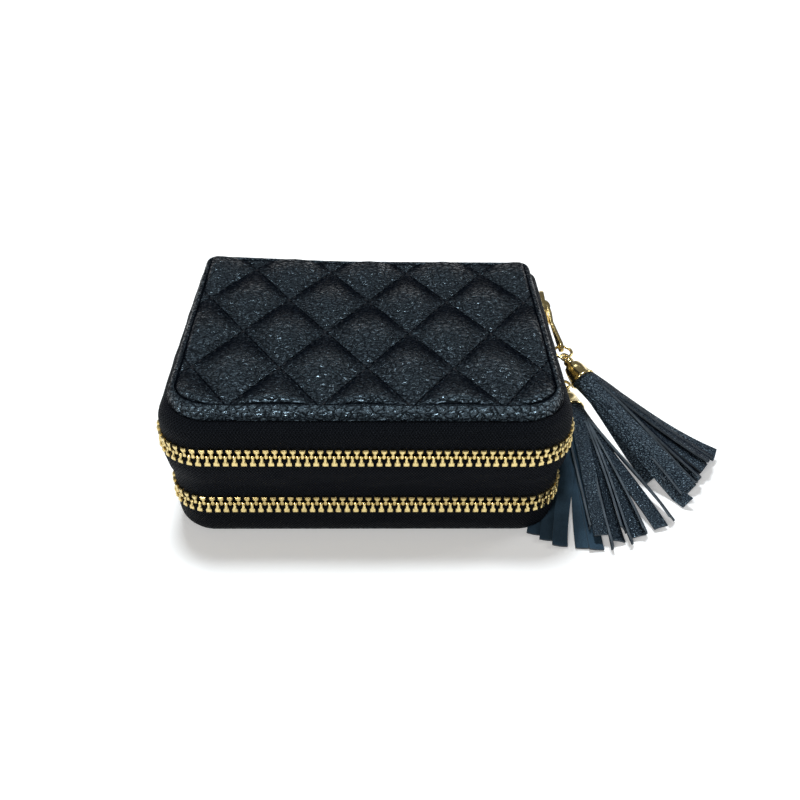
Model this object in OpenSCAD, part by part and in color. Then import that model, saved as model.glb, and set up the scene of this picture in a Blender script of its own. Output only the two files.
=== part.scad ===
// Leather jewellery case in two tiers: a quilted lid, a middle tray and a base, joined by one
// leather spine and closed by two brass zips that run round the front and both sides.
// Origin: centre of the underside. +X: the side with the sliders. +Y: the spine. +Z: up. Millimetres.

/* [Case] */
// Width of the leather covers, side to side
case_w = 112; // [100:1:124]
// Depth of the leather covers, front to spine
case_d = 87; // [80:1:96]
// Height of the lower zip's centreline above the table
lower_chain_z = 12.5; // [12:0.5:16]
// Height from the lower zip's centreline to the upper one's
tier_h = 19; // [18.5:0.5:22]
// Height from the upper zip's centreline to the top of the lid
top_h = 14.5; // [13.5:0.5:17]
// Radius of the two front corners, seen from above
front_r = 11; // [10:0.5:14]
// Radius of the lid's two corners at the spine, seen from above
back_r = 4; // [2.5:0.5:6]
// How far the upper zip stands out from the edge of the lid
upper_chain_out = 2.6; // [2.2:0.2:4]
// How far the lower zip stands out from the edge of the lid
lower_chain_out = 0.6; // [0.6:0.2:3]

/* [Covers] */
// Thickness of the cover leather
leather_t = 1; // [0.8:0.1:1.3]
// Thickness of the wadding under the lid's quilting
wadding_t = 1; // [0.8:0.1:1.6]
// Thickness of the lid's stiff board
lid_board_t = 1; // [0.8:0.1:1.6]
// Width of the leather hem turned under the lid
hem_w = 8; // [6:0.5:9]
// Thickness of the base's stiff board
base_board_t = 2.2; // [1.6:0.2:3]
// Thickness of the board between the tiers
middle_board_t = 1.2; // [1:0.1:2]
// Thickness of each lining
lining_t = 1; // [0.6:0.1:1.2]
// How far the base leather's edge lies inside the lid's edge
base_inset = 1; // [0.6:0.1:1.6]
// Thickness of the spine leather
spine_t = 1.5; // [1.2:0.1:1.8]
// Gap between two spine panels at a fold
fold_gap = 0.6; // [0.5:0.1:0.9]

/* [Quilting] */
// Width of one diamond
diamond_w = 25.2; // [20:0.2:30]
// Length of one diamond, front to back
diamond_l = 38.2; // [30:0.2:44]
// Distance of the middle crossing from the centre, towards the front
diamond_shift = 3.7; // [0:0.1:8]
// Depth of a stitched groove
groove_depth = 0.6; // [0.3:0.05:0.7]
// Width of a stitched groove
groove_w = 2.4; // [1.4:0.1:3]

/* [Zips] */
// Pitch of the teeth on one tape
tooth_pitch = 2.5; // [2.4:0.1:2.8]
// Length of a tooth from the centreline to its heel
tooth_reach = 2.85; // [2.7:0.05:3]
// Width of a tooth at its heel
tooth_w = 1.7; // [1.4:0.1:1.9]
// Thickness of a tooth
tooth_t = 2.4; // [2.2:0.1:2.6]
// How far a tooth's head reaches past the centreline
head_overlap = 0.55; // [0.4:0.05:0.6]
// Thickness of the woven tape
tape_t = 0.6; // [0.5:0.05:0.7]
// Distance of the tape's edge from the centreline
tape_edge = 1; // [0.9:0.05:1.2]
// Straight width of tape beside the teeth, where the slider runs
tape_straight = 5.2; // [5:0.1:5.6]
// Distance from the spine to the first tooth
row_start = 5.8; // [5.6:0.2:8]

/* [Sliders] */
// Length of a slider
slider_l = 12; // [11:0.5:13]
// Width of a slider at its shoulders
slider_w = 9.4; // [9.2:0.1:9.8]
// Thickness of the slider's outer plate
plate_t = 1.2; // [1:0.1:1.5]
// Thickness of the slider's inner plate
inner_plate_t = 1; // [0.8:0.1:1.2]
// Height of the slider's bail over the outer plate
bail_h = 2.45; // [2.3:0.05:3]
// Thickness of the puller bar
pull_t = 1; // [0.8:0.1:1.1]
// Distance from the puller's pivot to the hole at its end
pull_l = 23; // [18:0.5:28]
// Radius of the hole at the puller's end
pull_hole_r = 1.1; // [1:0.1:1.3]

/* [Tassels] */
// Radius of the ring between puller and tassel, at the middle of its wire
ring_r = 2.9; // [2.6:0.1:3.4]
// Radius of the ring's wire
ring_wire_r = 0.5; // [0.4:0.05:0.6]
// Radius of the cap at its rim
cap_r = 4.5; // [4:0.1:5]
// Length of the cap
cap_l = 8; // [7:0.5:10]
// Width of a leather strip
strip_w = 3.8; // [3:0.1:4.5]
// Thickness of a leather strip
strip_t = 1; // [0.8:0.1:1.2]

/* [Trays] */
// Thickness of the tray walls and dividers
wall_t = 1.6; // [1.2:0.1:2]
// Gap from the covers' edge to the outside of the tray walls
wall_inset = 2.5; // [2.4:0.1:3]
// Height of the upper tray's walls
upper_wall_h = 14.6; // [11:0.2:15]
// Height of the lower tray's walls
lower_wall_h = 15.6; // [12:0.2:15.8]
// Height of the ring rolls and the upper tray's dividers
roll_h = 9.2; // [8:0.2:9.6]
// Number of ring rolls
roll_count = 7; // [5:1:7]
// Depth of the pocket under the lid
pocket_depth = 5.6; // [5.2:0.1:6]

/* [Hidden] */

leather_black = [0.10, 0.11, 0.14];
fabric_black = [0.06, 0.06, 0.08];
board_grey = [0.55, 0.53, 0.50];
velvet_grey = [0.35, 0.35, 0.38];
wadding_white = [0.88, 0.88, 0.85];
brass_gold = [0.83, 0.68, 0.36];
flesh_blue = [0.20, 0.27, 0.34];

// Heights of the stack, from the table up
upper_chain_z = lower_chain_z + tier_h;
middle_z = (lower_chain_z + upper_chain_z) / 2;
case_h = upper_chain_z + top_h;
lid_t = 2 * leather_t + wadding_t + lid_board_t;
lid_under_z = case_h - lid_t;
lining_z = lid_under_z - lining_t;
base_board_z = leather_t;
base_lining_z = base_board_z + base_board_t;
lower_floor_z = base_lining_z + lining_t * 0.8;
middle_top_z = middle_z + middle_board_t / 2;
middle_under_z = middle_z - middle_board_t / 2;
upper_floor_z = middle_top_z + lining_t * 1.2;
lower_roof_z = middle_under_z - lining_t * 1.2;

// Spine: the two folds lie in the middle of the leather, level with the zips
spine_y = case_d / 2 - spine_t;
fold_y = case_d / 2 - spine_t / 2;
spine_edge_r = 2;

// Each zip: how far it stands out from the covers' edge, and the height of its centreline
upper_zip = [upper_chain_out, upper_chain_z];
lower_zip = [lower_chain_out, lower_chain_z];

// Zip path: a U round the case at the zip's distance from the covers
corner_x = case_w / 2 - front_r;
corner_y = -case_d / 2 + front_r;
side_start_y = spine_y - row_start;
side_len = side_start_y - corner_y;
front_len = 2 * corner_x;
side_tooth_count = floor(side_len / tooth_pitch);
tape_turn = -2.2;
turn_w = 1.4;
middle_out = 0.2;
lining_in = -2.4;

// Slider, riding on the right-hand run of the zip
channel = tooth_t + 0.3;
slider_gap = 0.3;
slider_y = spine_y - slider_gap - slider_l / 2;
tail_w = 2 * (tooth_reach + 0.1) + 1.5;
rail_w = 0.75;
rail_h = (channel - tape_t) / 2 - 0.35;
bail_w = 1.6;
bail_len = 8;
bail_wire = 1;
post_half = tape_edge - 0.3;
pivot_y = slider_y + 1;
pivot_r = pull_t / 2;
pivot_gap = 0.25;

// Puller: its eye passes round the bail
eye_half = bail_w / 2 + 0.8;
arm_w = 0.8;
eye_len = 6.5;
pull_end_r = pull_hole_r + 0.95;

// How each puller and tassel lies: turned out from the case, and dropped below level
upper_pull_out = 5.2;
upper_pull_drop = 5;
lower_pull_out = 12.4;
lower_pull_drop = -7;
upper_cap_turn = [-60, -18];
lower_cap_turn = [-84, -10];
loop_r = 1.3;
loop_wire_r = 0.45;
cap_neck_r = 2;
cap_wall = 0.5;

// Trays
tray_out = -wall_inset;
tray_in = -wall_inset - wall_t;
tray_back_y = spine_y - 1;
tray_back_r = 3;
inside_x = case_w / 2 + tray_in;
inside_front_y = -case_d / 2 - tray_in;
inside_back_y = tray_back_y - wall_t;
upper_divider_x = -6;
lower_divider_x = 8;
roll_gap = 0.3;
roll_len = 41.4;
roll_start = 3;
pocket_w = 77;
pocket_l = 50;
pocket_front_y = -30;
pocket_t = 0.8;

// ---- measures of a zip ----

// Distance from the case's middle to the zip's centreline, on either side
function chain_x(chain) = case_w / 2 + chain[0];

// Radius of the zip's two corners
function chain_r(chain) = front_r + chain[0];

function corner_len(chain) = PI / 2 * chain_r(chain);

function tooth_count(chain) = floor((2 * side_len + 2 * corner_len(chain) + front_len) / tooth_pitch);

// Inner faces of a slider's two plates
function plate_x(chain) = chain_x(chain) + channel / 2;

function inner_plate_x(chain) = chain_x(chain) - channel / 2;

// Axis of the puller's eye
function pivot_x(chain) = plate_x(chain) + plate_t + pivot_gap + pivot_r;

// ---- shapes shared by several pieces ----

// Plan of the case, grown by o on the three zipped sides, with its back edge at y = back
module plan(o, back, rear_r) {
    half = case_w / 2 + o;
    front = -case_d / 2 - o;
    r = front_r + o;
    translate([-half + r, front]) square([2 * (half - r), r]);
    translate([-half, front + r]) square([2 * half, back - rear_r - front - r]);
    for (side = [-1, 1]) translate([side * (half - r), front + r]) circle(r, $fn = 64);
    if (rear_r > 0) {
        translate([-half + rear_r, back - rear_r]) square([2 * (half - rear_r), rear_r]);
        for (side = [-1, 1]) translate([side * (half - rear_r), back - rear_r]) circle(rear_r, $fn = 48);
    }
}

// A flat layer of the case between two heights
module layer(o, z0, z1, back = spine_y) {
    translate([0, 0, z0]) linear_extrude(z1 - z0) plan(o, back, 0);
}

// Sweeps a profile of (distance out from the covers' edge, height) round the three zipped sides
module sweep_round(back = spine_y) {
    for (side = [0, 1]) mirror([side, 0, 0]) {
        translate([case_w / 2, back, 0])
            rotate([90, 0, 0]) linear_extrude(back - corner_y) children();
        translate([corner_x, corner_y, 0])
            rotate([0, 0, -90]) rotate_extrude(angle = 90, $fn = 64) translate([front_r, 0]) children();
    }
    translate([0, -case_d / 2, 0])
        rotate([0, 0, -90]) rotate([90, 0, 0]) linear_extrude(front_len, center = true) children();
}

// Point at t on a curve with two end points and two handles
function bezier(p, t) =
    pow(1 - t, 3) * p[0] + 3 * t * pow(1 - t, 2) * p[1] + 3 * t * t * (1 - t) * p[2] + pow(t, 3) * p[3];

function unit(v) = v / norm(v);

// Sideways step from the middle of a ribbon to its face at point i
function ribbon_step(p, i) =
    let (a = unit(p[max(i, 1)] - p[max(i, 1) - 1]),
         b = unit(p[min(i + 1, len(p) - 1)] - p[min(i + 1, len(p) - 1) - 1]),
         m = unit(a + b))
    [-m[1], m[0]] / (m * b);

// Outline of a ribbon of thickness t whose middle follows the points p
function ribbon(p, t) = concat(
    [for (i = [0 : len(p) - 1]) p[i] + ribbon_step(p, i) * t / 2],
    [for (i = [len(p) - 1 : -1 : 0]) p[i] - ribbon_step(p, i) * t / 2]);

// A tape from its zip's centreline, straight past the slider, then curved in to its sewn edge;
// turn_w is the least width of that curve
module tape(chain, up, seam_out, seam_z) {
    out = chain[0];
    end_out = min(seam_out, out - turn_w);
    straight_z = chain[1] + up * tape_straight;
    lean = [[out, straight_z],
            [out, straight_z + (seam_z - straight_z) * 0.55],
            [out - (out - end_out) * 0.35, seam_z],
            [end_out, seam_z]];
    middle = concat([[out, chain[1] + up * tape_edge]],
                    [for (i = [0 : 6]) bezier(lean, i / 6)],
                    [[tape_turn, seam_z]]);
    color(fabric_black) sweep_round() polygon(ribbon(middle, tape_t));
}

// ---- zip teeth ----

// Point and heading of a zip at the distance u from its left-hand start
function chain_at(chain, u) =
    let (r = chain_r(chain), a = side_len, b = a + corner_len(chain), c = b + front_len,
         d = c + corner_len(chain), left = (u - a) / r * 180 / PI, right = (u - c) / r * 180 / PI)
    u < a ? [-chain_x(chain), side_start_y - u, -90] :
    u < b ? [-corner_x - r * cos(left), corner_y - r * sin(left), left - 90] :
    u < c ? [-corner_x + u - b, corner_y - r, 0] :
    u < d ? [corner_x + r * sin(right), corner_y - r * cos(right), right] :
    [chain_x(chain), corner_y + u - d, 90];

// Front view of a tooth: a small head, a neck and a heel that widens to the tape
tooth_outline = [
    [-0.45, -head_overlap], [0.45, -head_overlap], [0.54, -0.1], [0.38, 0.6],
    [tooth_w / 2, 2.1], [tooth_w / 2, tooth_reach], [-tooth_w / 2, tooth_reach], [-tooth_w / 2, 2.1],
    [-0.38, 0.6], [-0.54, -0.1]
];
// One tooth, crimped over its tape: X along the chain, Y towards its tape, Z outward
module tooth() {
    linear_extrude(tooth_t, center = true) polygon(tooth_outline);
}

// Places its children on a zip, in the tooth's own directions
module on_chain(chain, u) {
    at = chain_at(chain, u);
    translate([at[0], at[1], chain[1]]) rotate([0, 0, at[2]]) rotate([90, 0, 0]) children();
}

// Teeth first to last of one row: the upper row when up is 1, the lower row when it is -1
module tooth_row(chain, up, first, last) {
    stagger = up > 0 ? 0 : tooth_pitch / 2;
    color(brass_gold) for (i = [first : last])
        on_chain(chain, i * tooth_pitch + stagger) mirror([0, up > 0 ? 0 : 1, 0]) tooth();
}

module main_teeth(chain, up) tooth_row(chain, up, 0, tooth_count(chain) - side_tooth_count - 1);

module side_teeth(chain, up)
    tooth_row(chain, up, tooth_count(chain) - side_tooth_count, tooth_count(chain) - 1);

// A stop clamped on one tape's edge
module zip_stop(chain, side, y, up) {
    stop_w = 2;
    stop_slot = tape_t + 0.1;
    color(brass_gold) translate([side * chain_x(chain), y, chain[1]]) mirror([0, 0, up > 0 ? 0 : 1])
        difference() {
            translate([-tooth_t / 2, 0, tape_edge - 0.35]) cube([tooth_t, stop_l, stop_w]);
            translate([-stop_slot / 2, -1, tape_edge - 0.05]) cube([stop_slot, stop_l + 2, stop_w]);
        }
}

// ---- lid ----

// The cover leather: a top sheet, a rounded edge and a hem turned under
module lid_edge_profile() {
    half = lid_t / 2;
    difference() {
        union() {
            translate([-half, lid_under_z + half]) circle(half, $fn = 48);
            translate([-hem_w, lid_under_z]) square([hem_w - half, lid_t]);
        }
        translate([-half, lid_under_z + half]) circle(half - leather_t, $fn = 48);
        translate([-hem_w - 1, lid_under_z + leather_t]) square([hem_w + 1 - half, lid_t - 2 * leather_t]);
    }
}

// Stitched grooves of the quilting: two families of lines that cross in diamonds
module quilt_grooves() {
    turn = atan2(diamond_l, diamond_w);
    step = diamond_w * sin(turn);
    lines = ceil((case_w * sin(turn) + case_d * cos(turn)) / step / 2 + 0.3);
    for (side = [-1, 1], i = [-lines : lines - 1])
        translate([0, -diamond_shift, case_h])
            rotate([0, 0, side * turn])
                translate([0, (i + 0.5) * step, 0])
                    rotate([90, 0, 90])
                        linear_extrude(2 * case_w, center = true)
                            polygon([[-groove_w / 2, 0.01], [groove_w / 2, 0.01], [0, -groove_depth]]);
}

module lid_leather() {
    color(leather_black) difference() {
        intersection() {
            union() {
                sweep_round() lid_edge_profile();
                layer(-hem_w, case_h - leather_t, case_h);
            }
            translate([0, 0, lid_under_z]) linear_extrude(lid_t) plan(0, case_d / 2, back_r);
        }
        intersection() {
            quilt_grooves();
            layer(-lid_t / 2, case_h - leather_t, case_h + 1);
        }
    }
}

module lid_wadding() {
    color(wadding_white)
        layer(-lid_t / 2 - 0.2, case_h - leather_t - wadding_t, case_h - leather_t, spine_y - back_r / 2);
}

module lid_board() {
    color(board_grey)
        layer(-lid_t / 2 - 0.2, lid_under_z + leather_t, lid_under_z + leather_t + lid_board_t,
            spine_y - back_r / 2);
}

// Lining: a raised middle inside the hem, and a wider sheet under it
module lid_lining() {
    color(velvet_grey) {
        layer(-hem_w - 0.2, lid_under_z, lid_under_z + leather_t);
        layer(lining_in, lining_z, lid_under_z);
    }
}

// Pocket sewn to the lining at its sides and back, open towards the front
module lid_pocket() {
    color(velvet_grey) translate([-pocket_w / 2, pocket_front_y, lining_z - pocket_depth])
        difference() {
            cube([pocket_w, pocket_l, pocket_depth]);
            translate([pocket_t, -1, pocket_t])
                cube([pocket_w - 2 * pocket_t, pocket_l + 1 - pocket_t, pocket_depth]);
        }
}

// ---- spine ----

// A panel of spine leather, from z0 to z1, as wide as the covers grown by o
module spine_panel(z0, z1, o, edge_r) {
    color(leather_black) intersection() {
        translate([0, 0, z0]) linear_extrude(z1 - z0) plan(o, case_d / 2, edge_r);
        translate([-case_w, spine_y, z0]) cube([2 * case_w, spine_t, z1 - z0]);
    }
}

// How far the spine leather stands out from the covers' edge, to reach a zip's tapes
function spine_out(chain) = chain[0] + tape_t / 2;

// The rounded edge of a panel where the leather folds beside a zip
module fold_edge(chain) {
    color(leather_black) translate([0, fold_y, chain[1]]) rotate([0, 90, 0])
        cylinder(r = spine_t / 2, h = case_w + 2 * spine_out(chain) - 2 * spine_edge_r, center = true, $fn = 32);
}

module lid_spine() {
    foot_z = upper_chain_z + spine_t / 2 + fold_gap;
    spine_panel(foot_z, lining_z, spine_out(upper_zip), spine_edge_r);
    spine_panel(lining_z, case_h, 0, back_r);
}

// The middle panel widens from the lower zip's tapes to the upper zip's
module middle_spine() {
    foot_z = lower_chain_z + spine_t / 2 + fold_gap;
    foot_half = case_w / 2 + spine_out(lower_zip);
    head_half = case_w / 2 + spine_out(upper_zip);
    wide_z = upper_chain_z - tape_straight;
    color(leather_black) intersection() {
        translate([0, 0, foot_z])
            linear_extrude(upper_chain_z - foot_z) plan(spine_out(upper_zip), case_d / 2, spine_edge_r);
        translate([0, case_d / 2, 0]) rotate([90, 0, 0]) linear_extrude(spine_t)
            polygon([[-foot_half, foot_z], [foot_half, foot_z], [foot_half, middle_z], [head_half, wide_z],
                [head_half, upper_chain_z], [-head_half, upper_chain_z], [-head_half, wide_z],
                [-foot_half, middle_z]]);
    }
    fold_edge(upper_zip);
}

module base_spine() {
    spine_panel(0, base_board_z + tape_t, -base_inset, back_r);
    spine_panel(base_board_z + tape_t, lower_chain_z, spine_out(lower_zip), spine_edge_r);
    fold_edge(lower_zip);
}

// ---- tapes and teeth, named by zip and row ----

stop_l = 1.3;
top_stop_y = spine_y - 0.3 - stop_l;
end_stop_y = side_start_y + tooth_pitch / 2;

module upper_zip_upper_tape() tape(upper_zip, 1, -1, lid_under_z - tape_t / 2);
module upper_zip_lower_tape() tape(upper_zip, -1, middle_out, middle_top_z + tape_t / 2);
module lower_zip_upper_tape() tape(lower_zip, 1, middle_out, middle_under_z - tape_t / 2);
module lower_zip_lower_tape() tape(lower_zip, -1, -base_inset - 0.4, base_board_z + tape_t / 2);

module upper_zip_upper_teeth() main_teeth(upper_zip, 1);
module upper_zip_lower_teeth() main_teeth(upper_zip, -1);
module lower_zip_upper_teeth() main_teeth(lower_zip, 1);
module lower_zip_lower_teeth() main_teeth(lower_zip, -1);

module upper_zip_upper_side_teeth() side_teeth(upper_zip, 1);
module upper_zip_lower_side_teeth() side_teeth(upper_zip, -1);
module lower_zip_upper_side_teeth() side_teeth(lower_zip, 1);
module lower_zip_lower_side_teeth() side_teeth(lower_zip, -1);

module upper_zip_upper_stop() zip_stop(upper_zip, 1, top_stop_y, 1);
module lower_zip_upper_stop() zip_stop(lower_zip, 1, top_stop_y, 1);

module upper_zip_lower_stops() {
    zip_stop(upper_zip, 1, top_stop_y, -1);
    zip_stop(upper_zip, -1, end_stop_y, -1);
}

module lower_zip_lower_stops() {
    zip_stop(lower_zip, 1, top_stop_y, -1);
    zip_stop(lower_zip, -1, end_stop_y, -1);
}

// ---- middle ----

module middle_board() color(board_grey) layer(middle_out, middle_under_z, middle_top_z);

module middle_top_lining() color(velvet_grey) layer(lining_in, middle_top_z, upper_floor_z);

module middle_under_lining() color(velvet_grey) layer(lining_in, lower_roof_z, middle_under_z);

// ---- base ----

// Base leather with a rounded edge
module base_leather() {
    color(leather_black) intersection() {
        union() {
            layer(-base_inset - leather_t, 0, leather_t);
            sweep_round() intersection() {
                translate([-base_inset - leather_t, leather_t]) circle(leather_t, $fn = 32);
                translate([-base_inset - leather_t, 0]) square(leather_t);
            }
        }
        translate([0, 0, -1]) linear_extrude(leather_t + 2) plan(0, case_d / 2, back_r);
    }
}

module base_board() color(board_grey) layer(lining_in, base_board_z, base_lining_z);

module base_lining() color(velvet_grey) layer(lining_in, base_lining_z, lower_floor_z);

// ---- trays ----

// Plan of a tray's wall at o from the covers' edge, with rounded corners at the back too
module tray_plan(o) plan(o, tray_back_y - (tray_out - o), tray_back_r - (tray_out - o));

module tray_wall(z, h) {
    color(velvet_grey) translate([0, 0, z]) linear_extrude(h) difference() {
        tray_plan(tray_out);
        tray_plan(tray_in);
    }
}

// A divider along Y at x, from the front wall to the back one
module long_divider(x, z, h) {
    translate([x - wall_t / 2, inside_front_y, z]) cube([wall_t, inside_back_y - inside_front_y, h]);
}

// A divider along X at y, from the divider at x to the right-hand wall
module cross_divider(x, y, z, h) {
    translate([x, y - wall_t / 2, z]) cube([inside_x - x, wall_t, h]);
}

module upper_tray_wall() tray_wall(upper_floor_z, upper_wall_h);

module lower_tray_wall() tray_wall(lower_floor_z, lower_wall_h);

module upper_tray_dividers() {
    color(velvet_grey) {
        long_divider(upper_divider_x, upper_floor_z, roll_h);
        for (y = [-inside_back_y / 3, inside_back_y / 3]) cross_divider(upper_divider_x, y, upper_floor_z, roll_h);
    }
}

module lower_tray_dividers() {
    color(velvet_grey) {
        long_divider(lower_divider_x, lower_floor_z, lower_wall_h - 1);
        cross_divider(lower_divider_x, 0, lower_floor_z, lower_wall_h - 1);
    }
}

// Padded rolls that grip rings between them
module ring_rolls() {
    first_y = corner_y - roll_start;
    pitch = (inside_back_y - roll_gap - first_y) / roll_count;
    roll_r = pitch / 2 - roll_gap / 2;
    color(velvet_grey) for (i = [0 : roll_count - 1])
        translate([upper_divider_x - wall_t / 2 - roll_gap, first_y + (i + 0.5) * pitch, upper_floor_z])
            rotate([90, 0, -90]) linear_extrude(roll_len) {
                intersection() {
                    translate([0, roll_h - roll_r]) circle(roll_r, $fn = 48);
                    translate([-roll_r, 0]) square([2 * roll_r, roll_h]);
                }
                translate([-roll_r, 0]) square([2 * roll_r, roll_h - roll_r]);
            }
}

// ---- sliders ----

// Outline of a slider's plates: X along the zip with the mouth at +X, Y across it
function slider_outline(end_w, shoulder_w) = [
    [-slider_l / 2, -end_w / 2 + 0.8], [-slider_l / 2 + 0.8, -end_w / 2], [slider_l / 4, -shoulder_w / 2],
    [slider_l / 2 - 1, -shoulder_w / 2 + 0.5], [slider_l / 2, -shoulder_w / 4], [slider_l / 2 - 0.5, 0],
    [slider_l / 2, shoulder_w / 4], [slider_l / 2 - 1, shoulder_w / 2 - 0.5], [slider_l / 4, shoulder_w / 2],
    [-slider_l / 2 + 0.8, end_w / 2], [-slider_l / 2, end_w / 2 - 0.8]
];

// Rails along both edges of a plate, ending before the mouth
module slider_rails() {
    for (side = [-1, 1])
        polygon([[-slider_l / 2 + 0.8, side * tail_w / 2], [slider_l / 4, side * slider_w / 2],
            [slider_l / 4, side * (slider_w / 2 - rail_w)], [-slider_l / 2 + 0.8, side * (tail_w / 2 - rail_w)]]);
}

// Stands a slider's plan up on its zip, from x = x0 outward for a thickness t
module slider_layer(chain, x0, t) {
    translate([x0, slider_y, chain[1]]) rotate([0, 0, 90]) rotate([90, 0, 0]) linear_extrude(t) children();
}

// Bail: an arch along the slider that the puller's eye turns in
module bail(chain) {
    foot = 0.3;
    translate([plate_x(chain) + plate_t, pivot_y, chain[1] - bail_w / 2]) linear_extrude(bail_w)
        difference() {
            polygon([for (a = [0 : 15 : 180])
                [bail_h * sin(a) - (a == 0 || a == 180 ? foot : 0), -bail_len / 2 * cos(a)]]);
            polygon([for (a = [0 : 15 : 180])
                [(bail_h - bail_wire) * sin(a), -(bail_len / 2 - bail_wire) * cos(a)]]);
        }
}

// Wedge between the plates that parts the two rows of teeth
wedge_outline = [
    [slider_l / 6, 0], [slider_l / 3, -post_half], [slider_l / 2 - 0.6, -post_half / 2],
    [slider_l / 2 - 0.6, post_half / 2], [slider_l / 3, post_half]
];

module slider(chain) {
    outer_x = plate_x(chain);
    inner_x = inner_plate_x(chain);
    color(brass_gold) {
        slider_layer(chain, outer_x, plate_t) polygon(slider_outline(tail_w, slider_w));
        slider_layer(chain, inner_x - inner_plate_t, inner_plate_t) polygon(slider_outline(tail_w, slider_w));
        slider_layer(chain, outer_x - rail_h, rail_h) slider_rails();
        slider_layer(chain, inner_x, rail_h) slider_rails();
        slider_layer(chain, inner_x, channel) polygon(wedge_outline);
        bail(chain);
    }
}

module upper_slider() slider(upper_zip);

module lower_slider() slider(lower_zip);

// ---- pullers ----

// Puller lying along -Y from its pivot at the origin, flat in X, its crossbar along Z
module pull() {
    color(brass_gold) {
        rotate([0, -90, 0]) linear_extrude(pull_t, center = true) difference() {
            union() {
                polygon([[-eye_half - arm_w, 0], [-eye_half - arm_w, -eye_len], [-1.5, -eye_len - 3.5],
                    [-pull_end_r, -pull_l], [pull_end_r, -pull_l], [1.5, -eye_len - 3.5],
                    [eye_half + arm_w, -eye_len], [eye_half + arm_w, 0]]);
                translate([0, -pull_l]) circle(pull_end_r, $fn = 48);
            }
            translate([-eye_half, -eye_len]) square([2 * eye_half, eye_len + 1]);
            translate([0, -pull_l]) circle(pull_hole_r, $fn = 32);
        }
        cylinder(r = pivot_r, h = 2 * (eye_half + arm_w), center = true, $fn = 32);
    }
}

// Turns a piece that hangs on a puller's pivot to where that puller lies
module at_pivot(chain, out, drop) {
    translate([pivot_x(chain), pivot_y, chain[1]]) rotate([0, 0, out]) rotate([drop, 0, 0]) children();
}

module upper_pull() at_pivot(upper_zip, upper_pull_out, upper_pull_drop) pull();

module lower_pull() at_pivot(lower_zip, lower_pull_out, lower_pull_drop) pull();

// ---- tassels ----

// Ring through the puller's hole, in the pull's own directions
module tassel_ring() {
    color(brass_gold) translate([0, -pull_l - ring_r, 0])
        rotate_extrude($fn = 48) translate([ring_r, 0]) circle(ring_wire_r, $fn = 24);
}

// Cap along +X from the ring's far point: a loop, a neck and a bell open at its rim
module tassel_cap() {
    neck_x = loop_r + loop_wire_r;
    color(brass_gold) {
        rotate([90, 0, 0]) rotate_extrude($fn = 32) translate([loop_r, 0]) circle(loop_wire_r, $fn = 16);
        rotate([0, 90, 0]) rotate_extrude($fn = 64) polygon([
            [0, neck_x - 0.4], [cap_neck_r, neck_x - 0.4], [cap_neck_r + 0.3, neck_x + 0.8],
            [cap_neck_r + 0.1, neck_x + 1.4], [cap_r - 0.6, neck_x + 3.2], [cap_r - 0.2, neck_x + cap_l - 1],
            [cap_r, neck_x + cap_l], [cap_r - cap_wall, neck_x + cap_l],
            [cap_r - 0.2 - cap_wall, neck_x + cap_l - 1], [cap_r - 0.6 - cap_wall, neck_x + 3.4],
            [0, neck_x + 2.2]]);
    }
}

// Far point of a tassel's ring from the origin, for a puller turned out and dropped
function ring_end(chain, out, drop) =
    let (reach = pull_l + 2 * ring_r)
    [pivot_x(chain) + reach * sin(out) * cos(drop), pivot_y - reach * cos(out) * cos(drop),
     chain[1] - reach * sin(drop)];

module at_ring(end, turn) translate(end) rotate([0, -turn[1], turn[0]]) children();

// Direction that a cap points in
function cap_way(turn) = [cos(turn[1]) * cos(turn[0]), cos(turn[1]) * sin(turn[0]), sin(turn[1])];

upper_ring_end = ring_end(upper_zip, upper_pull_out, upper_pull_drop);
lower_ring_end = ring_end(lower_zip, lower_pull_out, lower_pull_drop);

// Middle line of a strip: from inside the cap, on along it, then in a curve to the tip.
// bow is how late the strip turns sideways, and lift how high it stays above its tip
strip_rings = 7;
function strip_path(root, way, tip, bow, lift) =
    let (reach = norm(tip - root),
         knee = root + way * reach * 0.4,
         high = [tip[0] + (root[0] - tip[0]) * bow, tip[1] + (root[1] - tip[1]) * 0.3, tip[2] + lift])
    [for (i = [0 : strip_rings]) bezier([root, knee, high, tip], i / strip_rings)];

// Four corners of a strip's section at point i of its path; its width turns from s0 to s1
function strip_section(path, i, s0, s1) =
    let (last = len(path) - 1,
         along = unit(path[min(i + 1, last)] - path[max(i - 1, 0)]),
         wide = s0 + (s1 - s0) * i / last,
         side = unit(wide - along * (wide * along)),
         up = cross(side, along))
    [for (c = [[-1, -1], [1, -1], [1, 1], [-1, 1]])
        path[i] + side * c[0] * strip_w / 2 + up * c[1] * strip_t / 2];

// A flat strip of leather along a path
module leather_strip(path, s0, s1) {
    for (i = [0 : len(path) - 2])
        hull() polyhedron(
            concat(strip_section(path, i, s0, s1), strip_section(path, i + 1, s0, s1)),
            [[0, 1, 2, 3], [7, 6, 5, 4], [0, 4, 5, 1], [1, 5, 6, 2], [2, 6, 7, 3], [3, 7, 4, 0]]);
}

// Tips of the strips: X and Y from the ring's far point, and height above the table
upper_tips = [
    [51.5, -15, 0.8], [48.5, -19, 1], [45.5, -24, 1], [42.5, -29, 1], [41.5, -33, 0.8], [36.5, -38, 1.5],
    [34.5, -42, 0.8], [49.5, -12, 3], [41.5, -25, 4], [33.5, -34, 5], [27.5, -38, 7]
];
lower_tips = [
    [-12.5, -58.5, 0.8], [-8.5, -58, 0.8], [-3, -59, 0.8], [3, -59.5, 0.8], [9, -59, 0.8], [14, -58, 0.8],
    [20, -54, 0.8], [23.5, -52, 0.8], [-1, -57, 3.5], [6, -57, 4], [12, -55, 4.5]
];

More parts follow.
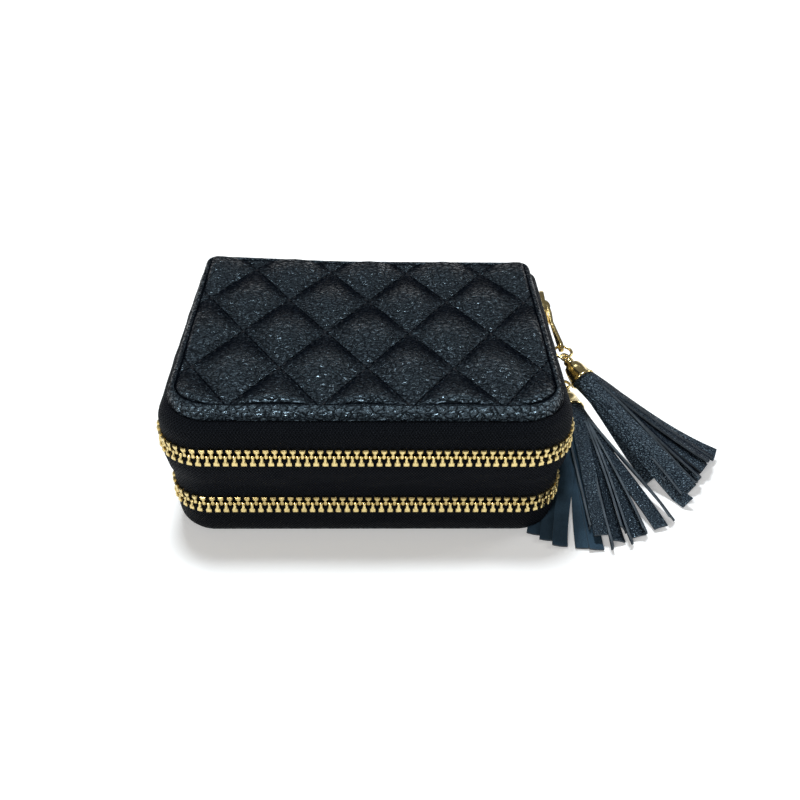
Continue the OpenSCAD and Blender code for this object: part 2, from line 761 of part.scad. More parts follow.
// A fringe: one leather strip cut into tails and rolled up inside the cap
module fringe(end, turn, tips, bow, lift) {
    way = cap_way(turn);
    neck_x = loop_r + loop_wire_r;
    root = end + way * (neck_x + cap_l - 2.5);
    color(flesh_blue) {
        at_ring(end, turn) translate([neck_x + 3.6, 0, 0]) rotate([0, 90, 0])
            cylinder(r = cap_r - cap_wall - 0.8, h = cap_l - 2.4, $fn = 48);
        for (i = [0 : len(tips) - 1]) {
            tip = [end[0] + tips[i][0], end[1] + tips[i][1], tips[i][2]];
            tip_side = unit([-tips[i][1], tips[i][0], 12 * sin(i * 77)]);
            rolled = [way[1] * cos(i * 33), -way[0] * cos(i * 33), sin(i * 33)];
            root_side = rolled * tip_side < 0 ? -rolled : rolled;
            leather_strip(strip_path(root, way, tip, bow, lift), root_side, tip_side);
        }
    }
}

module upper_tassel_ring() at_pivot(upper_zip, upper_pull_out, upper_pull_drop) tassel_ring();
module lower_tassel_ring() at_pivot(lower_zip, lower_pull_out, lower_pull_drop) tassel_ring();

module upper_tassel_cap() at_ring(upper_ring_end, upper_cap_turn) tassel_cap();
module lower_tassel_cap() at_ring(lower_ring_end, lower_cap_turn) tassel_cap();

module upper_tassel_fringe() fringe(upper_ring_end, upper_cap_turn, upper_tips, 0.3, 9);
module lower_tassel_fringe() fringe(lower_ring_end, lower_cap_turn, lower_tips, 0.75, 3);

lid_leather();
lid_wadding();
lid_board();
lid_lining();
lid_pocket();
lid_spine();
upper_zip_upper_tape();
upper_zip_upper_teeth();
upper_zip_upper_side_teeth();
upper_zip_upper_stop();
middle_board();
middle_top_lining();
middle_under_lining();
middle_spine();
upper_zip_lower_tape();
upper_zip_lower_teeth();
upper_zip_lower_side_teeth();
upper_zip_lower_stops();
lower_zip_upper_tape();
lower_zip_upper_teeth();
lower_zip_upper_side_teeth();
lower_zip_upper_stop();
upper_tray_wall();
upper_tray_dividers();
ring_rolls();
base_leather();
base_board();
base_lining();
base_spine();
lower_zip_lower_tape();
lower_zip_lower_teeth();
lower_zip_lower_side_teeth();
lower_zip_lower_stops();
lower_tray_wall();
lower_tray_dividers();
upper_slider();
lower_slider();
upper_pull();
lower_pull();
upper_tassel_ring();
upper_tassel_cap();
upper_tassel_fringe();
lower_tassel_ring();
lower_tassel_cap();
lower_tassel_fringe();
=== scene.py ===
"""A two-tier quilted leather jewellery case.

A lid, a middle tray and a base hang on one leather spine, two brass zips close them on three sides,
and each zip's puller carries a leather tassel. Lengths are in millimetres until a mesh is finished.
"""

import logging
import math
import random
from dataclasses import dataclass, field
from enum import Enum, StrEnum
from itertools import accumulate, product

import bmesh
import bpy
from bmesh.types import BMEdge, BMesh, BMVert
from bpy.types import Material, Mesh, Node, NodeSocket, NodeTree, Object
from mathutils import Euler, Matrix, Vector, noise
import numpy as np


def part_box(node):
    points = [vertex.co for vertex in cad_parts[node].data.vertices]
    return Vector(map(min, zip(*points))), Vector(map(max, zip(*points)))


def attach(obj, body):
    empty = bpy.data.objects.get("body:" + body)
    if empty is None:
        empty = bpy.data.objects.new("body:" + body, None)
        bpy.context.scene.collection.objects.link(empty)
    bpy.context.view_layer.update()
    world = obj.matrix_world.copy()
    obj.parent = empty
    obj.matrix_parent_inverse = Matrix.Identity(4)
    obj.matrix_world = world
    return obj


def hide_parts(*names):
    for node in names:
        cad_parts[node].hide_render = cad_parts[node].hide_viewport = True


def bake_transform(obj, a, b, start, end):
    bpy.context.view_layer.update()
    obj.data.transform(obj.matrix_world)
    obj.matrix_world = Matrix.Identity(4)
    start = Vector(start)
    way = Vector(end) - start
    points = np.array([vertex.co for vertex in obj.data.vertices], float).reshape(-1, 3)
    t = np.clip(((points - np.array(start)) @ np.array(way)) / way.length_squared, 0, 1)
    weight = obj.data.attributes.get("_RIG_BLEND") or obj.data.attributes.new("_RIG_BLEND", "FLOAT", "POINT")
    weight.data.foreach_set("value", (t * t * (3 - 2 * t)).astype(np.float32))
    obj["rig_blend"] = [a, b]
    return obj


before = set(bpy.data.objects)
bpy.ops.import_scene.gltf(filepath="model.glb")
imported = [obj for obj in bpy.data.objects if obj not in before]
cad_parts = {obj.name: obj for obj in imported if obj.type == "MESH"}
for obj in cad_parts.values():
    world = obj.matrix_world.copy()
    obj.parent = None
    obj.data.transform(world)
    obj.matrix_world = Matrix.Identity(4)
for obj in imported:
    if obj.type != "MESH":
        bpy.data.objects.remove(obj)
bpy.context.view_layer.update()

LOG = logging.getLogger("jewellery_case")
MM = 0.001
UP = Vector((0, 0, 1))
# Edges of a node that turn more than the first are rounded, and less than the second are dissolved.
CRISP_EDGE, FLAT_EDGE = math.radians(32), math.radians(2)


# ---- finishes ----


class Graph:
    """Adds nodes to one node tree and joins their sockets."""

    # Numbers of the Mix node's colour sockets, which share their names with its other sockets.
    MIX_SHARE, MIX_LOW, MIX_HIGH, MIX_RESULT = 0, 6, 7, 2

    def __init__(self, tree: NodeTree) -> None:
        """Keeps the node tree to build in."""
        self.tree = tree

    def add(self, kind: str, inputs: dict[str | int, object] | None = None, **settings: object) -> Node:
        """Adds one node.

        Args:
            kind: The node's type name.
            inputs: Values or sockets for its inputs, by name or number.
            settings: Properties of the node itself.

        Returns:
            The new node.
        """
        node = self.tree.nodes.new(kind)
        for name, value in settings.items():
            setattr(node, name, value)
        self.feed(node, inputs or {})
        return node

    def feed(self, node: Node, inputs: dict[str | int, object]) -> None:
        """Gives a node's inputs their values, or joins them to sockets.

        Args:
            node: The node.
            inputs: Values or sockets, by the input's name or number.
        """
        for name, value in inputs.items():
            if isinstance(value, NodeSocket):
                self.tree.links.new(value, node.inputs[name])
            else:
                node.inputs[name].default_value = value

    def math(self, operation: str, *values: object) -> NodeSocket:
        """Adds a Math node and returns its result."""
        return self.add("ShaderNodeMath", dict(enumerate(values)), operation=operation).outputs[0]

    def mix(self, share: object, low: object, high: object) -> NodeSocket:
        """Mixes two colours: share is how much of the second one shows."""
        inputs = {self.MIX_SHARE: share, self.MIX_LOW: low, self.MIX_HIGH: high}
        return self.add("ShaderNodeMix", inputs, data_type="RGBA").outputs[self.MIX_RESULT]

    def cloud(self, place: object, scale: object, detail: float, roughness: float = 0.5) -> Node:
        """Adds a Noise texture, read at a place, with a scale and finer layers."""
        inputs = {"Vector": place, "Scale": scale, "Detail": detail, "Roughness": roughness}
        return self.add("ShaderNodeTexNoise", inputs)

    def remap(self, value: object, low: float, high: float, to_low: float, to_high: float) -> NodeSocket:
        """Maps the range from low to high smoothly to another one."""
        ends = {"Value": value, "From Min": low, "From Max": high, "To Min": to_low, "To Max": to_high}
        return self.add("ShaderNodeMapRange", ends, interpolation_type="SMOOTHSTEP").outputs[0]

    def bump(self, height: NodeSocket, strength: float, distance: float) -> NodeSocket:
        """Adds a Bump node, whose distance is the height's full depth in metres."""
        return self.add("ShaderNodeBump", {"Height": height, "Strength": strength, "Distance": distance}).outputs[0]


class Effect:
    """A shader node group that finishes share, built the first time one asks for it."""

    name: str
    values: tuple[str, ...] = ()
    results: tuple[str, ...]

    @classmethod
    def group(cls) -> NodeTree:
        """The effect's node group.

        Returns:
            The group: from a place and some numbers to heights and masks.
        """
        found = bpy.data.node_groups.get(cls.name)
        if found:
            return found
        tree = bpy.data.node_groups.new(cls.name, "ShaderNodeTree")
        tree.interface.new_socket("Place", in_out="INPUT", socket_type="NodeSocketVector")
        for way, labels in (("INPUT", cls.values), ("OUTPUT", cls.results)):
            for label in labels:
                tree.interface.new_socket(label, in_out=way, socket_type="NodeSocketFloat")
        g = Graph(tree)
        given = {socket.name: socket for socket in g.add("NodeGroupInput").outputs}
        g.feed(g.add("NodeGroupOutput"), cls.wire(g, given))
        return tree

    @classmethod
    def wire(cls, g: Graph, given: dict[str, NodeSocket]) -> dict[str, NodeSocket]:
        """Wires the group from its inputs, and says what each output is joined to."""
        raise NotImplementedError


class PebbleGrain(Effect):
    """Pebbled leather grain on a place in metres: soft cells with creases between them."""

    name = "pebble_grain"
    values = ("Cells", "Warp")
    results = ("Height", "Crease")
    stretch = (0.72, 1.25, 1.0)

    @classmethod
    def wire(cls, g: Graph, given: dict[str, NodeSocket]) -> dict[str, NodeSocket]:
        """Wires drifting cells of two sizes.

        Args:
            g: The group's graph.
            given: Its input sockets by name.

        Returns:
            The pebbles' height, and a mask of the creases between the large ones.
        """
        drift = g.cloud(given["Place"], 260.0, 2.0).outputs["Color"]
        shift = g.add("ShaderNodeVectorMath", {0: drift, 1: (0.5, 0.5, 0.5)}, operation="SUBTRACT")
        shift = g.add("ShaderNodeVectorMath", {0: shift.outputs[0], "Scale": given["Warp"]}, operation="SCALE")
        place = g.add("ShaderNodeVectorMath", {0: given["Place"], 1: shift.outputs[0]}, operation="ADD").outputs[0]
        place = g.add("ShaderNodeVectorMath", {0: place, 1: cls.stretch}, operation="MULTIPLY").outputs[0]
        large, small = (
            g.add("ShaderNodeTexVoronoi", {"Vector": place, "Scale": scale}, feature="DISTANCE_TO_EDGE").outputs[0]
            for scale in (given["Cells"], g.math("MULTIPLY", given["Cells"], 2.3)))
        height = g.math("ADD", g.remap(large, 0.0, 0.34, 0.0, 1.0), g.remap(small, 0.0, 0.3, 0.0, 0.3))
        return {"Height": height, "Crease": g.remap(large, 0.0, 0.12, 1.0, 0.0)}


class TapeWeave(Effect):
    """Plain weave on a place in millimetres, which follows a cloth's own length and width."""

    name = "tape_weave"
    values = ("Pitch",)
    results = ("Height", "Thread")

    @classmethod
    def wire(cls, g: Graph, given: dict[str, NodeSocket]) -> dict[str, NodeSocket]:
        """Wires two crossing waves, a rib and some fuzz.

        Args:
            g: The group's graph.
            given: Its input sockets by name.

        Returns:
            The cloth's height, and a mask of its raised threads.
        """
        parts = g.add("ShaderNodeSeparateXYZ", {0: given["Place"]}).outputs
        turn = g.math("DIVIDE", math.tau, given["Pitch"])
        along = g.math("MULTIPLY", parts["X"], turn)
        across = g.math("MULTIPLY", g.math("MULTIPLY", parts["Y"], turn), 0.8)
        lift = g.math("MULTIPLY", g.math("SINE", along), g.math("SINE", across))
        rib = g.math("MULTIPLY", g.math("ABSOLUTE", g.math("SINE", g.math("MULTIPLY", along, 0.5))), 0.5)
        fuzz = g.math("MULTIPLY", g.cloud(given["Place"], 3.0, 3.0).outputs[0], 0.9)
        height = g.math("ADD", g.math("ADD", lift, rib), fuzz)
        return {"Height": height, "Thread": g.remap(lift, -1.0, 1.0, 0.0, 1.0)}


class ShortFibres(Effect):
    """Short mixed fibres, as on velvet, raw board and the flesh side of leather."""

    name = "short_fibres"
    values = ("Scale",)
    results = ("Height", "Tint")

    @classmethod
    def wire(cls, g: Graph, given: dict[str, NodeSocket]) -> dict[str, NodeSocket]:
        """Wires fine fibres and slow patches of tint.

        Args:
            g: The group's graph.
            given: Its input sockets by name.

        Returns:
            The fibres' height and a soft tint.
        """
        fine = g.cloud(given["Place"], given["Scale"], 4.0, 0.7).outputs[0]
        patches = g.cloud(given["Place"], g.math("MULTIPLY", given["Scale"], 0.045), 2.0).outputs[0]
        return {"Height": fine, "Tint": g.remap(patches, 0.35, 0.65, 0.0, 1.0)}


class HandlingMarks(Effect):
    """Faint handling marks on polished metal."""

    name = "handling_marks"
    results = ("Marks", "Height")

    @classmethod
    def wire(cls, g: Graph, given: dict[str, NodeSocket]) -> dict[str, NodeSocket]:
        """Wires a mask of marks and a fine height."""
        cloud, fine = (g.cloud(given["Place"], *size).outputs[0] for size in ((900.0, 3.0), (3500.0, 2.0)))
        return {"Marks": g.remap(cloud, 0.35, 0.75, 0.0, 1.0), "Height": fine}


@dataclass(frozen=True)
class Finish:
    """What every finish has: its name and its colour."""

    name: str
    colour: tuple[float, float, float]

    def material(self) -> Material:
        """The finish's material, built the first time.

        Returns:
            The material.
        """
        found = bpy.data.materials.get(self.name)
        if found:
            return found
        made = bpy.data.materials.new(self.name)
        made.use_nodes = True
        self.build(Graph(made.node_tree), made.node_tree.nodes["Principled BSDF"])
        return made

    def build(self, g: Graph, shader: Node) -> None:
        """Wires the finish's nodes into its Principled BSDF."""
        raise NotImplementedError

    def rgba(self, factor: float = 1.0) -> tuple[float, float, float, float]:
        """The finish's colour, made lighter or darker by a factor."""
        return (*(min(1.0, c * factor) for c in self.colour), 1.0)


@dataclass(frozen=True)
class GrainLeather(Finish):
    """Pebbled leather, dull in its creases and bright on its crowns, whose creases are darkened with painted shade."""

    cells: float = 540.0
    warp: float = 0.0009
    depth: float = 0.0009
    gloss: float = 0.22
    dull: float = 0.35
    shine: float = 1.8
    slope_shine: float = 0.08
    slope: tuple[float, float] = (0.28, 0.72)
    # Painted shade: how dark the creases' colour is, as a share of the crown colour.
    dark: float = 0.35
    tints: tuple[float, float] = (0.8, 1.35)
    glint: tuple[float, float, float, float] = (0.62, 0.84, 1.0, 1.0)

    def seams(self, g: Graph, place: NodeSocket) -> NodeSocket | None:
        """Where the leather is drawn down into a seam: nowhere, unless a finish says so."""
        return None

    def build(self, g: Graph, shader: Node) -> None:
        """Wires pebbles, creases, seams, a faint change of tint, and painted shade that darkens the creases and seams.

        Args:
            g: The material's graph.
            shader: Its Principled BSDF.
        """
        place = g.add("ShaderNodeTexCoord").outputs["Object"]
        inputs = {"Place": place, "Cells": self.cells, "Warp": self.warp}
        grain = g.add("ShaderNodeGroup", inputs, node_tree=PebbleGrain.group()).outputs
        height, crease = grain["Height"], grain["Crease"]
        seam = self.seams(g, place)
        if seam:
            open_share = g.math("SUBTRACT", 1.0, seam)
            height = g.math("MULTIPLY", height, open_share)
            # The seams take the creases' painted shade too.
            crease = g.math("MAXIMUM", crease, seam)
        crown = g.mix(g.cloud(place, 60.0, 2.0).outputs[0], *(self.rgba(tint) for tint in self.tints))
        facing = g.add("ShaderNodeLayerWeight").outputs["Facing"]
        shine = g.remap(facing, *self.slope, self.shine, self.slope_shine)
        shine = g.math("MULTIPLY", g.remap(height, 0.05, 0.6, 0.1, 1.0), shine)
        if seam:
            shine = g.math("MULTIPLY", shine, open_share)
        g.feed(shader, {
            # Painted shade: the creases and seams are darkened in the base colour.
            "Base Color": g.mix(crease, crown, self.rgba(self.dark)),
            "Roughness": g.remap(height, 0.0, 1.2, self.gloss + self.dull, self.gloss),
            "Specular IOR Level": shine,
            "Specular Tint": self.glint,
            "Normal": g.bump(height, 1.0, self.depth),
        })


@dataclass(frozen=True)
class Diamonds:
    """The quilting's pattern in millimetres: a diamond's width and length, and its shift to the front."""

    width: float = 25.2
    length: float = 38.2
    shift: float = 3.7

    @property
    def gap(self) -> float:
        """Half the distance between two neighbouring stitch lines."""
        return 1 / math.hypot(2 / self.width, 2 / self.length)

    @property
    def lean(self) -> float:
        """Angle between the stitch lines and the lid's width."""
        return math.atan2(self.length, self.width)


@dataclass(frozen=True)
class QuiltedLeather(GrainLeather):
    """Pebbled leather stitched down along two families of crossing lines."""

    diamonds: Diamonds = Diamonds()
    seam_half: float = 0.42
    seam_blur: float = 0.2

    def seams(self, g: Graph, place: NodeSocket) -> NodeSocket:
        """Wires the seams: the diamonds inside the cover's edge seam, and that seam itself.

        Args:
            g: The material's graph.
            place: The place in metres.

        Returns:
            A mask that is 1 along each stitched line.
        """
        parts = g.add("ShaderNodeSeparateXYZ", {0: place}).outputs
        a = g.math("MULTIPLY", parts["X"], 2 / (self.diamonds.width * MM))
        b = g.math("ADD", parts["Y"], self.diamonds.shift * MM)
        b = g.math("MULTIPLY", b, 2 / (self.diamonds.length * MM))
        steps = [g.math("PINGPONG", g.math("ADD", g.math(way, a, b), 1.0), 1.0) for way in ("ADD", "SUBTRACT")]
        nearest = g.math("MULTIPLY", g.math("MINIMUM", *steps), self.diamonds.gap)
        edge = g.add("ShaderNodeAttribute", attribute_name="seam_gap").outputs["Fac"]
        inside = g.remap(edge, -self.seam_blur, self.seam_blur, 1.0, 0.0)
        across, round_edge = (g.remap(distance, 0.0, self.seam_half, 1.0, 0.0)
                              for distance in (nearest, g.math("ABSOLUTE", edge)))
        return g.math("MAXIMUM", g.math("MULTIPLY", across, inside), round_edge)


@dataclass(frozen=True)
class FibreSurface(Finish):
    """Velvet, raw board, wadding or the flesh side of leather."""

    scale: float = 2600.0
    depth: float = 0.0002
    roughness: float = 0.9
    sheen: float = 0.0
    spread: float = 0.35

    def build(self, g: Graph, shader: Node) -> None:
        """Wires fibres and soft patches of tint.

        Args:
            g: The material's graph.
            shader: Its Principled BSDF.
        """
        place = g.add("ShaderNodeTexCoord").outputs["Object"]
        fibres = g.add("ShaderNodeGroup", {"Place": place, "Scale": self.scale}, node_tree=ShortFibres.group()).outputs
        patches = g.mix(fibres["Tint"], self.rgba(1 - self.spread), self.rgba(1 + self.spread))
        smooth_part, rough_part = self.roughness - 0.08, min(1.0, self.roughness + 0.06)
        g.feed(shader, {
            "Base Color": g.mix(g.remap(fibres["Height"], 0.3, 0.7, 0.0, 0.6), patches, self.rgba(0.5)),
            "Roughness": g.remap(fibres["Height"], 0.2, 0.8, smooth_part, rough_part),
            "Normal": g.bump(fibres["Height"], 0.8, self.depth),
            "Sheen Weight": self.sheen,
            "Sheen Roughness": 0.45,
            "Specular IOR Level": 0.2,
        })


@dataclass(frozen=True)
class WovenCloth(Finish):
    """Woven tape or thread that follows the piece's own cloth attribute."""

    pitch: float = 0.9
    depth: float = 0.0004

    def build(self, g: Graph, shader: Node) -> None:
        """Wires the weave, with its raised threads painted lighter and the dips between them darkened with painted
        shade.

        Args:
            g: The material's graph.
            shader: Its Principled BSDF.
        """
        place = g.add("ShaderNodeAttribute", attribute_name="cloth").outputs["Vector"]
        weave = g.add("ShaderNodeGroup", {"Place": place, "Pitch": self.pitch}, node_tree=TapeWeave.group()).outputs
        g.feed(shader, {
            # Painted light and shade: raised threads lighter, the dips between threads darker.
            "Base Color": g.mix(weave["Thread"], self.rgba(0.45), self.rgba(1.6)),
            "Roughness": g.remap(weave["Thread"], 0.0, 1.0, 0.85, 0.6),
            "Normal": g.bump(weave["Height"], 0.8, self.depth),
            "Specular IOR Level": 0.12,
            "Specular Tint": (0.8, 0.9, 1.0, 1.0),
        })


@dataclass(frozen=True)
class PolishedBrass(Finish):
    """Bright plated brass with faint handling marks."""

    roughness: float = 0.16
    depth: float = 0.00003

    def build(self, g: Graph, shader: Node) -> None:
        """Wires the marks into colour, roughness and a very fine bump.

        Args:
            g: The material's graph.
            shader: Its Principled BSDF.
        """
        place = g.add("ShaderNodeTexCoord").outputs["Object"]
        marks = g.add("ShaderNodeGroup", {"Place": place}, node_tree=HandlingMarks.group()).outputs
        g.feed(shader, {
            "Base Color": g.mix(marks["Marks"], self.rgba(), self.rgba(0.84)),
            "Roughness": g.remap(marks["Marks"], 0.0, 1.0, self.roughness, self.roughness + 0.14),
            "Normal": g.bump(marks["Height"], 0.25, self.depth),
            "Metallic": 1.0,
        })


# Every grain leather here darkens its creases with painted shade; the strips less than the rest.
QUILTED_LEATHER = QuiltedLeather("lid_grain_side", (0.0028, 0.0046, 0.0088))
COVER_LEATHER = GrainLeather("cover_grain_side", (0.0055, 0.0080, 0.014), gloss=0.34, shine=1.2)
STRIP_GRAIN = GrainLeather("strip_grain_side", (0.009, 0.015, 0.026), cells=1200.0, gloss=0.32, dark=0.5,
                           depth=0.0003)
STRIP_FLESH = FibreSurface("strip_flesh_side", (0.036, 0.072, 0.110), scale=3000.0, depth=0.00008, spread=0.2)
STRIP_EDGE = FibreSurface("strip_cut_edge", (0.085, 0.105, 0.125), scale=4000.0, depth=0.00006, spread=0.25)
ZIP_TAPE = WovenCloth("zip_tape_cloth", (0.0028, 0.0034, 0.0056))
THREAD = FibreSurface("sewing_thread", (0.012, 0.013, 0.018), scale=5000.0, depth=0.00005, roughness=0.6)
ZIP_BRASS = PolishedBrass("tooth_brass", (0.76, 0.60, 0.27), roughness=0.2)
SLIDER_BRASS = PolishedBrass("cast_brass", (0.88, 0.70, 0.33), roughness=0.14)
VELVET = FibreSurface("velvet_pile", (0.030, 0.030, 0.036), scale=3200.0, depth=0.00025, sheen=0.5)
BOARD = FibreSurface("raw_board", (0.42, 0.38, 0.32), scale=1800.0, depth=0.0001, spread=0.12)
WADDING = FibreSurface("white_wadding", (0.78, 0.78, 0.74), scale=1500.0, depth=0.0004, spread=0.08)


# ---- meshes ----


def finish_mesh(bm: BMesh, name: str, finishes: list[Finish], sharp: float = 40.0) -> Object:
    """Turns a bmesh in millimetres into an object at the origin, in metres.

    Args:
        bm: The shape, which is freed.
        name: The new piece's name.
        finishes: Its finishes, in the order of its faces' material numbers.
        sharp: Edges that turn more than this many degrees stay sharp.

    Returns:
        The new object.
    """
    bmesh.ops.scale(bm, vec=(MM, MM, MM), verts=bm.verts)
    mesh = bpy.data.meshes.new(name)
    bm.to_mesh(mesh)
    bm.free()
    for finish in finishes:
        mesh.materials.append(finish.material())
    mesh.shade_smooth()
    mesh.set_sharp_from_angle(angle=math.radians(sharp))
    piece = bpy.data.objects.new(name, mesh)
    bpy.context.scene.collection.objects.link(piece)
    return piece


def thicken(piece: Object, name: str, thickness: float, offset: float) -> None:
    """Gives a sheet its thickness with a live modifier.

    Args:
        piece: The sheet.
        name: The modifier's name.
        thickness: How thick it gets.
        offset: Which way it grows: -1 behind its face, 0 both ways.
    """
    solid = piece.modifiers.new(name, "SOLIDIFY")
    solid.thickness = thickness * MM
    solid.offset = offset


def seat(piece: Object, body: str, slot: str, *nodes: str) -> Object:
    """Makes a piece ride on a body, in place of some of its plain nodes.

    Args:
        piece: The piece, in place.
        body: The body that it moves with.
        slot: The record's material slot; not used.
        nodes: The nodes that it stands for.

    Returns:
        The same piece.
    """
    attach(piece, body)
    if nodes:
        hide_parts(*nodes)
    LOG.info("%s: %d faces on %s", piece.name, len(piece.data.polygons), body)
    return piece


def dress_node(node: str, finish: Finish) -> None:
    """Gives a node that stays as it is its finish.

    Args:
        node: The node's name.
        finish: Its finish.
    """
    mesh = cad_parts[node].data
    mesh.materials.clear()
    mesh.materials.append(finish.material())
    LOG.info("%s: dressed as %s", node, finish.name)


def ease(bm: BMesh, edges: list[BMEdge], radius: float, segments: int) -> None:
    """Rounds edges off."""
    bmesh.ops.bevel(bm, geom=edges, offset=radius, offset_type="OFFSET", affect="EDGES", segments=segments,
                    profile=0.5, material=-1, clamp_overlap=True)


def softened_copy(node: str, radius: float, segments: int = 2) -> BMesh:
    """A node's shape with its sharp edges rounded, in millimetres.

    Args:
        node: The node's name.
        radius: How far the rounding reaches from an edge.
        segments: Steps in the rounding.

    Returns:
        The new shape.
    """
    bm = bmesh.new()
    bm.from_mesh(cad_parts[node].data)
    bmesh.ops.scale(bm, vec=(1 / MM, 1 / MM, 1 / MM), verts=bm.verts)
    bmesh.ops.remove_doubles(bm, verts=bm.verts, dist=0.002)
    bmesh.ops.dissolve_limit(bm, angle_limit=FLAT_EDGE, verts=bm.verts, edges=bm.edges)
    crisp = [e for e in bm.edges if len(e.link_faces) == 2 and e.calc_face_angle(0) > CRISP_EDGE]
    ease(bm, crisp, radius, segments)
    return bm


def add_part(bm: BMesh, part: BMesh) -> None:
    """Adds one shape to another.

    Args:
        bm: The shape to add to.
        part: The shape to add, which is freed.
    """
    mesh = bpy.data.meshes.new("part")
    part.to_mesh(mesh)
    part.free()
    bm.from_mesh(mesh)
    bpy.data.meshes.remove(mesh)


def sweep(bm: BMesh, outline: list[Vector] | list[tuple[float, float]], places: list[Matrix],
          lengths: list[float] | None = None) -> None:
    """Extrudes a closed outline through a row of places and closes both ends.

    Each vertex keeps its distance along the sweep and its number round the outline.

    Args:
        bm: The mesh to add to.
        outline: Points in each place's X and Y.
        places: One matrix for each step.
        lengths: Distance along the sweep at each place.
    """
    along = bm.verts.layers.float.get("along") or bm.verts.layers.float.new("along")
    order = bm.verts.layers.int.get("order") or bm.verts.layers.int.new("order")
    ring = [bm.verts.new(places[0] @ Vector((x, y, 0))) for x, y in outline]
    for number, vert in enumerate(ring):
        vert[order] = number
    edges = [bm.edges.new(pair) for pair in zip(ring, ring[1:] + ring[:1])]
    bm.faces.new(ring[::-1])
    for step in range(1, len(places)):
        made = bmesh.ops.extrude_edge_only(bm, edges=edges)["geom"]
        verts = [v for v in made if isinstance(v, BMVert)]
        fresh = set(verts)
        edges = [e for e in made if isinstance(e, BMEdge) and fresh.issuperset(e.verts)]
        bmesh.ops.transform(bm, matrix=places[step] @ places[step - 1].inverted(), verts=verts)
        for vert in verts:
            vert[along] = lengths[step] if lengths else step
    bmesh.ops.contextual_create(bm, geom=edges)


def frame_at(point: Vector, x_way: Vector, y_way: Vector) -> Matrix:
    """The place at a point whose X and Y have two given unit directions."""
    z_way = x_way.cross(y_way)
    return Matrix.Translation(point) @ Matrix((x_way, y_way, z_way)).transposed().to_4x4()


def bezier(points: list[Vector], t: float) -> Vector:
    """The point at t, from 0 to 1, on a curve given by its start, two handles and its end."""
    s = 1 - t
    return points[0] * s**3 + points[1] * 3 * t * s * s + points[2] * 3 * t * t * s + points[3] * t**3


def box_mm(node: str) -> tuple[Vector, Vector]:
    """A node's box in millimetres: its low and its high corner."""
    low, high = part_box(node)
    return low / MM, high / MM


def even_steps(low: float, high: float, step: float) -> list[float]:
    """Numbers from low to high, evenly spaced, at most a step apart."""
    count = math.ceil((high - low) / step)
    return [low + (high - low) * i / count for i in range(count + 1)]


def smooth(low: float, high: float, value: float) -> float:
    """Rises smoothly from 0 at low to 1 at high."""
    t = max(0.0, min(1.0, (value - low) / (high - low)))
    return t * t * (3 - 2 * t)


class Level(StrEnum):
    """The case's two zips, and the tier below each."""

    UPPER = "upper"
    LOWER = "lower"


class Row(Enum):
    """The two rows of a zip: which way each lies from the zip's centreline."""

    UPPER = 1
    LOWER = -1


# ---- shared sizes ----


HALF_TOOTH = 1.2


@dataclass(frozen=True)
class CaseSizes:
    """Sizes that several sub-assemblies share, read from the frame."""

    half_w: float
    half_d: float
    top_z: float
    lid_under_z: float
    upper_chain_z: float
    lower_chain_z: float
    upper_out: float
    lower_out: float
    spine_y: float
    front_r: float = 11.0
    back_r: float = 4.0

    @classmethod
    def from_frame(cls) -> "CaseSizes":
        """Reads the sizes from the nodes' boxes.

        Returns:
            The sizes.
        """
        low, high = box_mm("lid_leather")
        levels, outs = [], []
        for level in Level:
            foot, head = box_mm(f"{level}_zip_lower_teeth")[0], box_mm(f"{level}_zip_upper_teeth")[1]
            levels.append((foot.z + head.z) / 2)
            outs.append(-foot.x - high.x - HALF_TOOTH)
        return cls(high.x, -low.y, high.z, low.z, *levels, *outs, box_mm("middle_spine")[0].y)

    @property
    def middle_z(self) -> float:
        """Height of the board between the tiers."""
        return (self.upper_chain_z + self.lower_chain_z) / 2


@dataclass(frozen=True)
class EdgePath:
    """A U round the case's three zipped sides, from the left of the spine to its right."""

    half_w: float
    half_d: float
    corner_r: float
    start_y: float

    @property
    def side(self) -> float:
        """Length of each straight side."""
        return self.start_y + self.half_d - self.corner_r

    @property
    def corner(self) -> float:
        """Length of each corner."""
        return math.pi / 2 * self.corner_r

    @property
    def total(self) -> float:
        """Length of the whole U."""
        return 2 * (self.side + self.corner + self.half_w - self.corner_r)

    def outward_place(self, u: float, z: float = 0.0) -> Matrix:
        """The place at a distance along the path: X out from the case, Y up.

        Args:
            u: Distance along the path.
            z: Height.

        Returns:
            The place as a matrix.
        """
        corner_x = self.half_w - self.corner_r
        corner_y = -self.half_d + self.corner_r
        last = self.total - self.side
        if u <= self.side:
            centre, turn = Vector((-corner_x, self.start_y - u, z)), math.pi
        elif u < self.side + self.corner:
            centre, turn = Vector((-corner_x, corner_y, z)), math.pi + (u - self.side) / self.corner_r
        elif u < last - self.corner:
            centre, turn = Vector((-corner_x + u - self.side - self.corner, corner_y, z)), -math.pi / 2
        elif u < last:
            centre, turn = Vector((corner_x, corner_y, z)), -math.pi / 2 + (u - last + self.corner) / self.corner_r
        else:
            centre, turn = Vector((corner_x, corner_y + u - last, z)), 0.0
        out = Vector((math.cos(turn), math.sin(turn), 0))
        return frame_at(centre + self.corner_r * out, out, UP)


# ---- lid ----


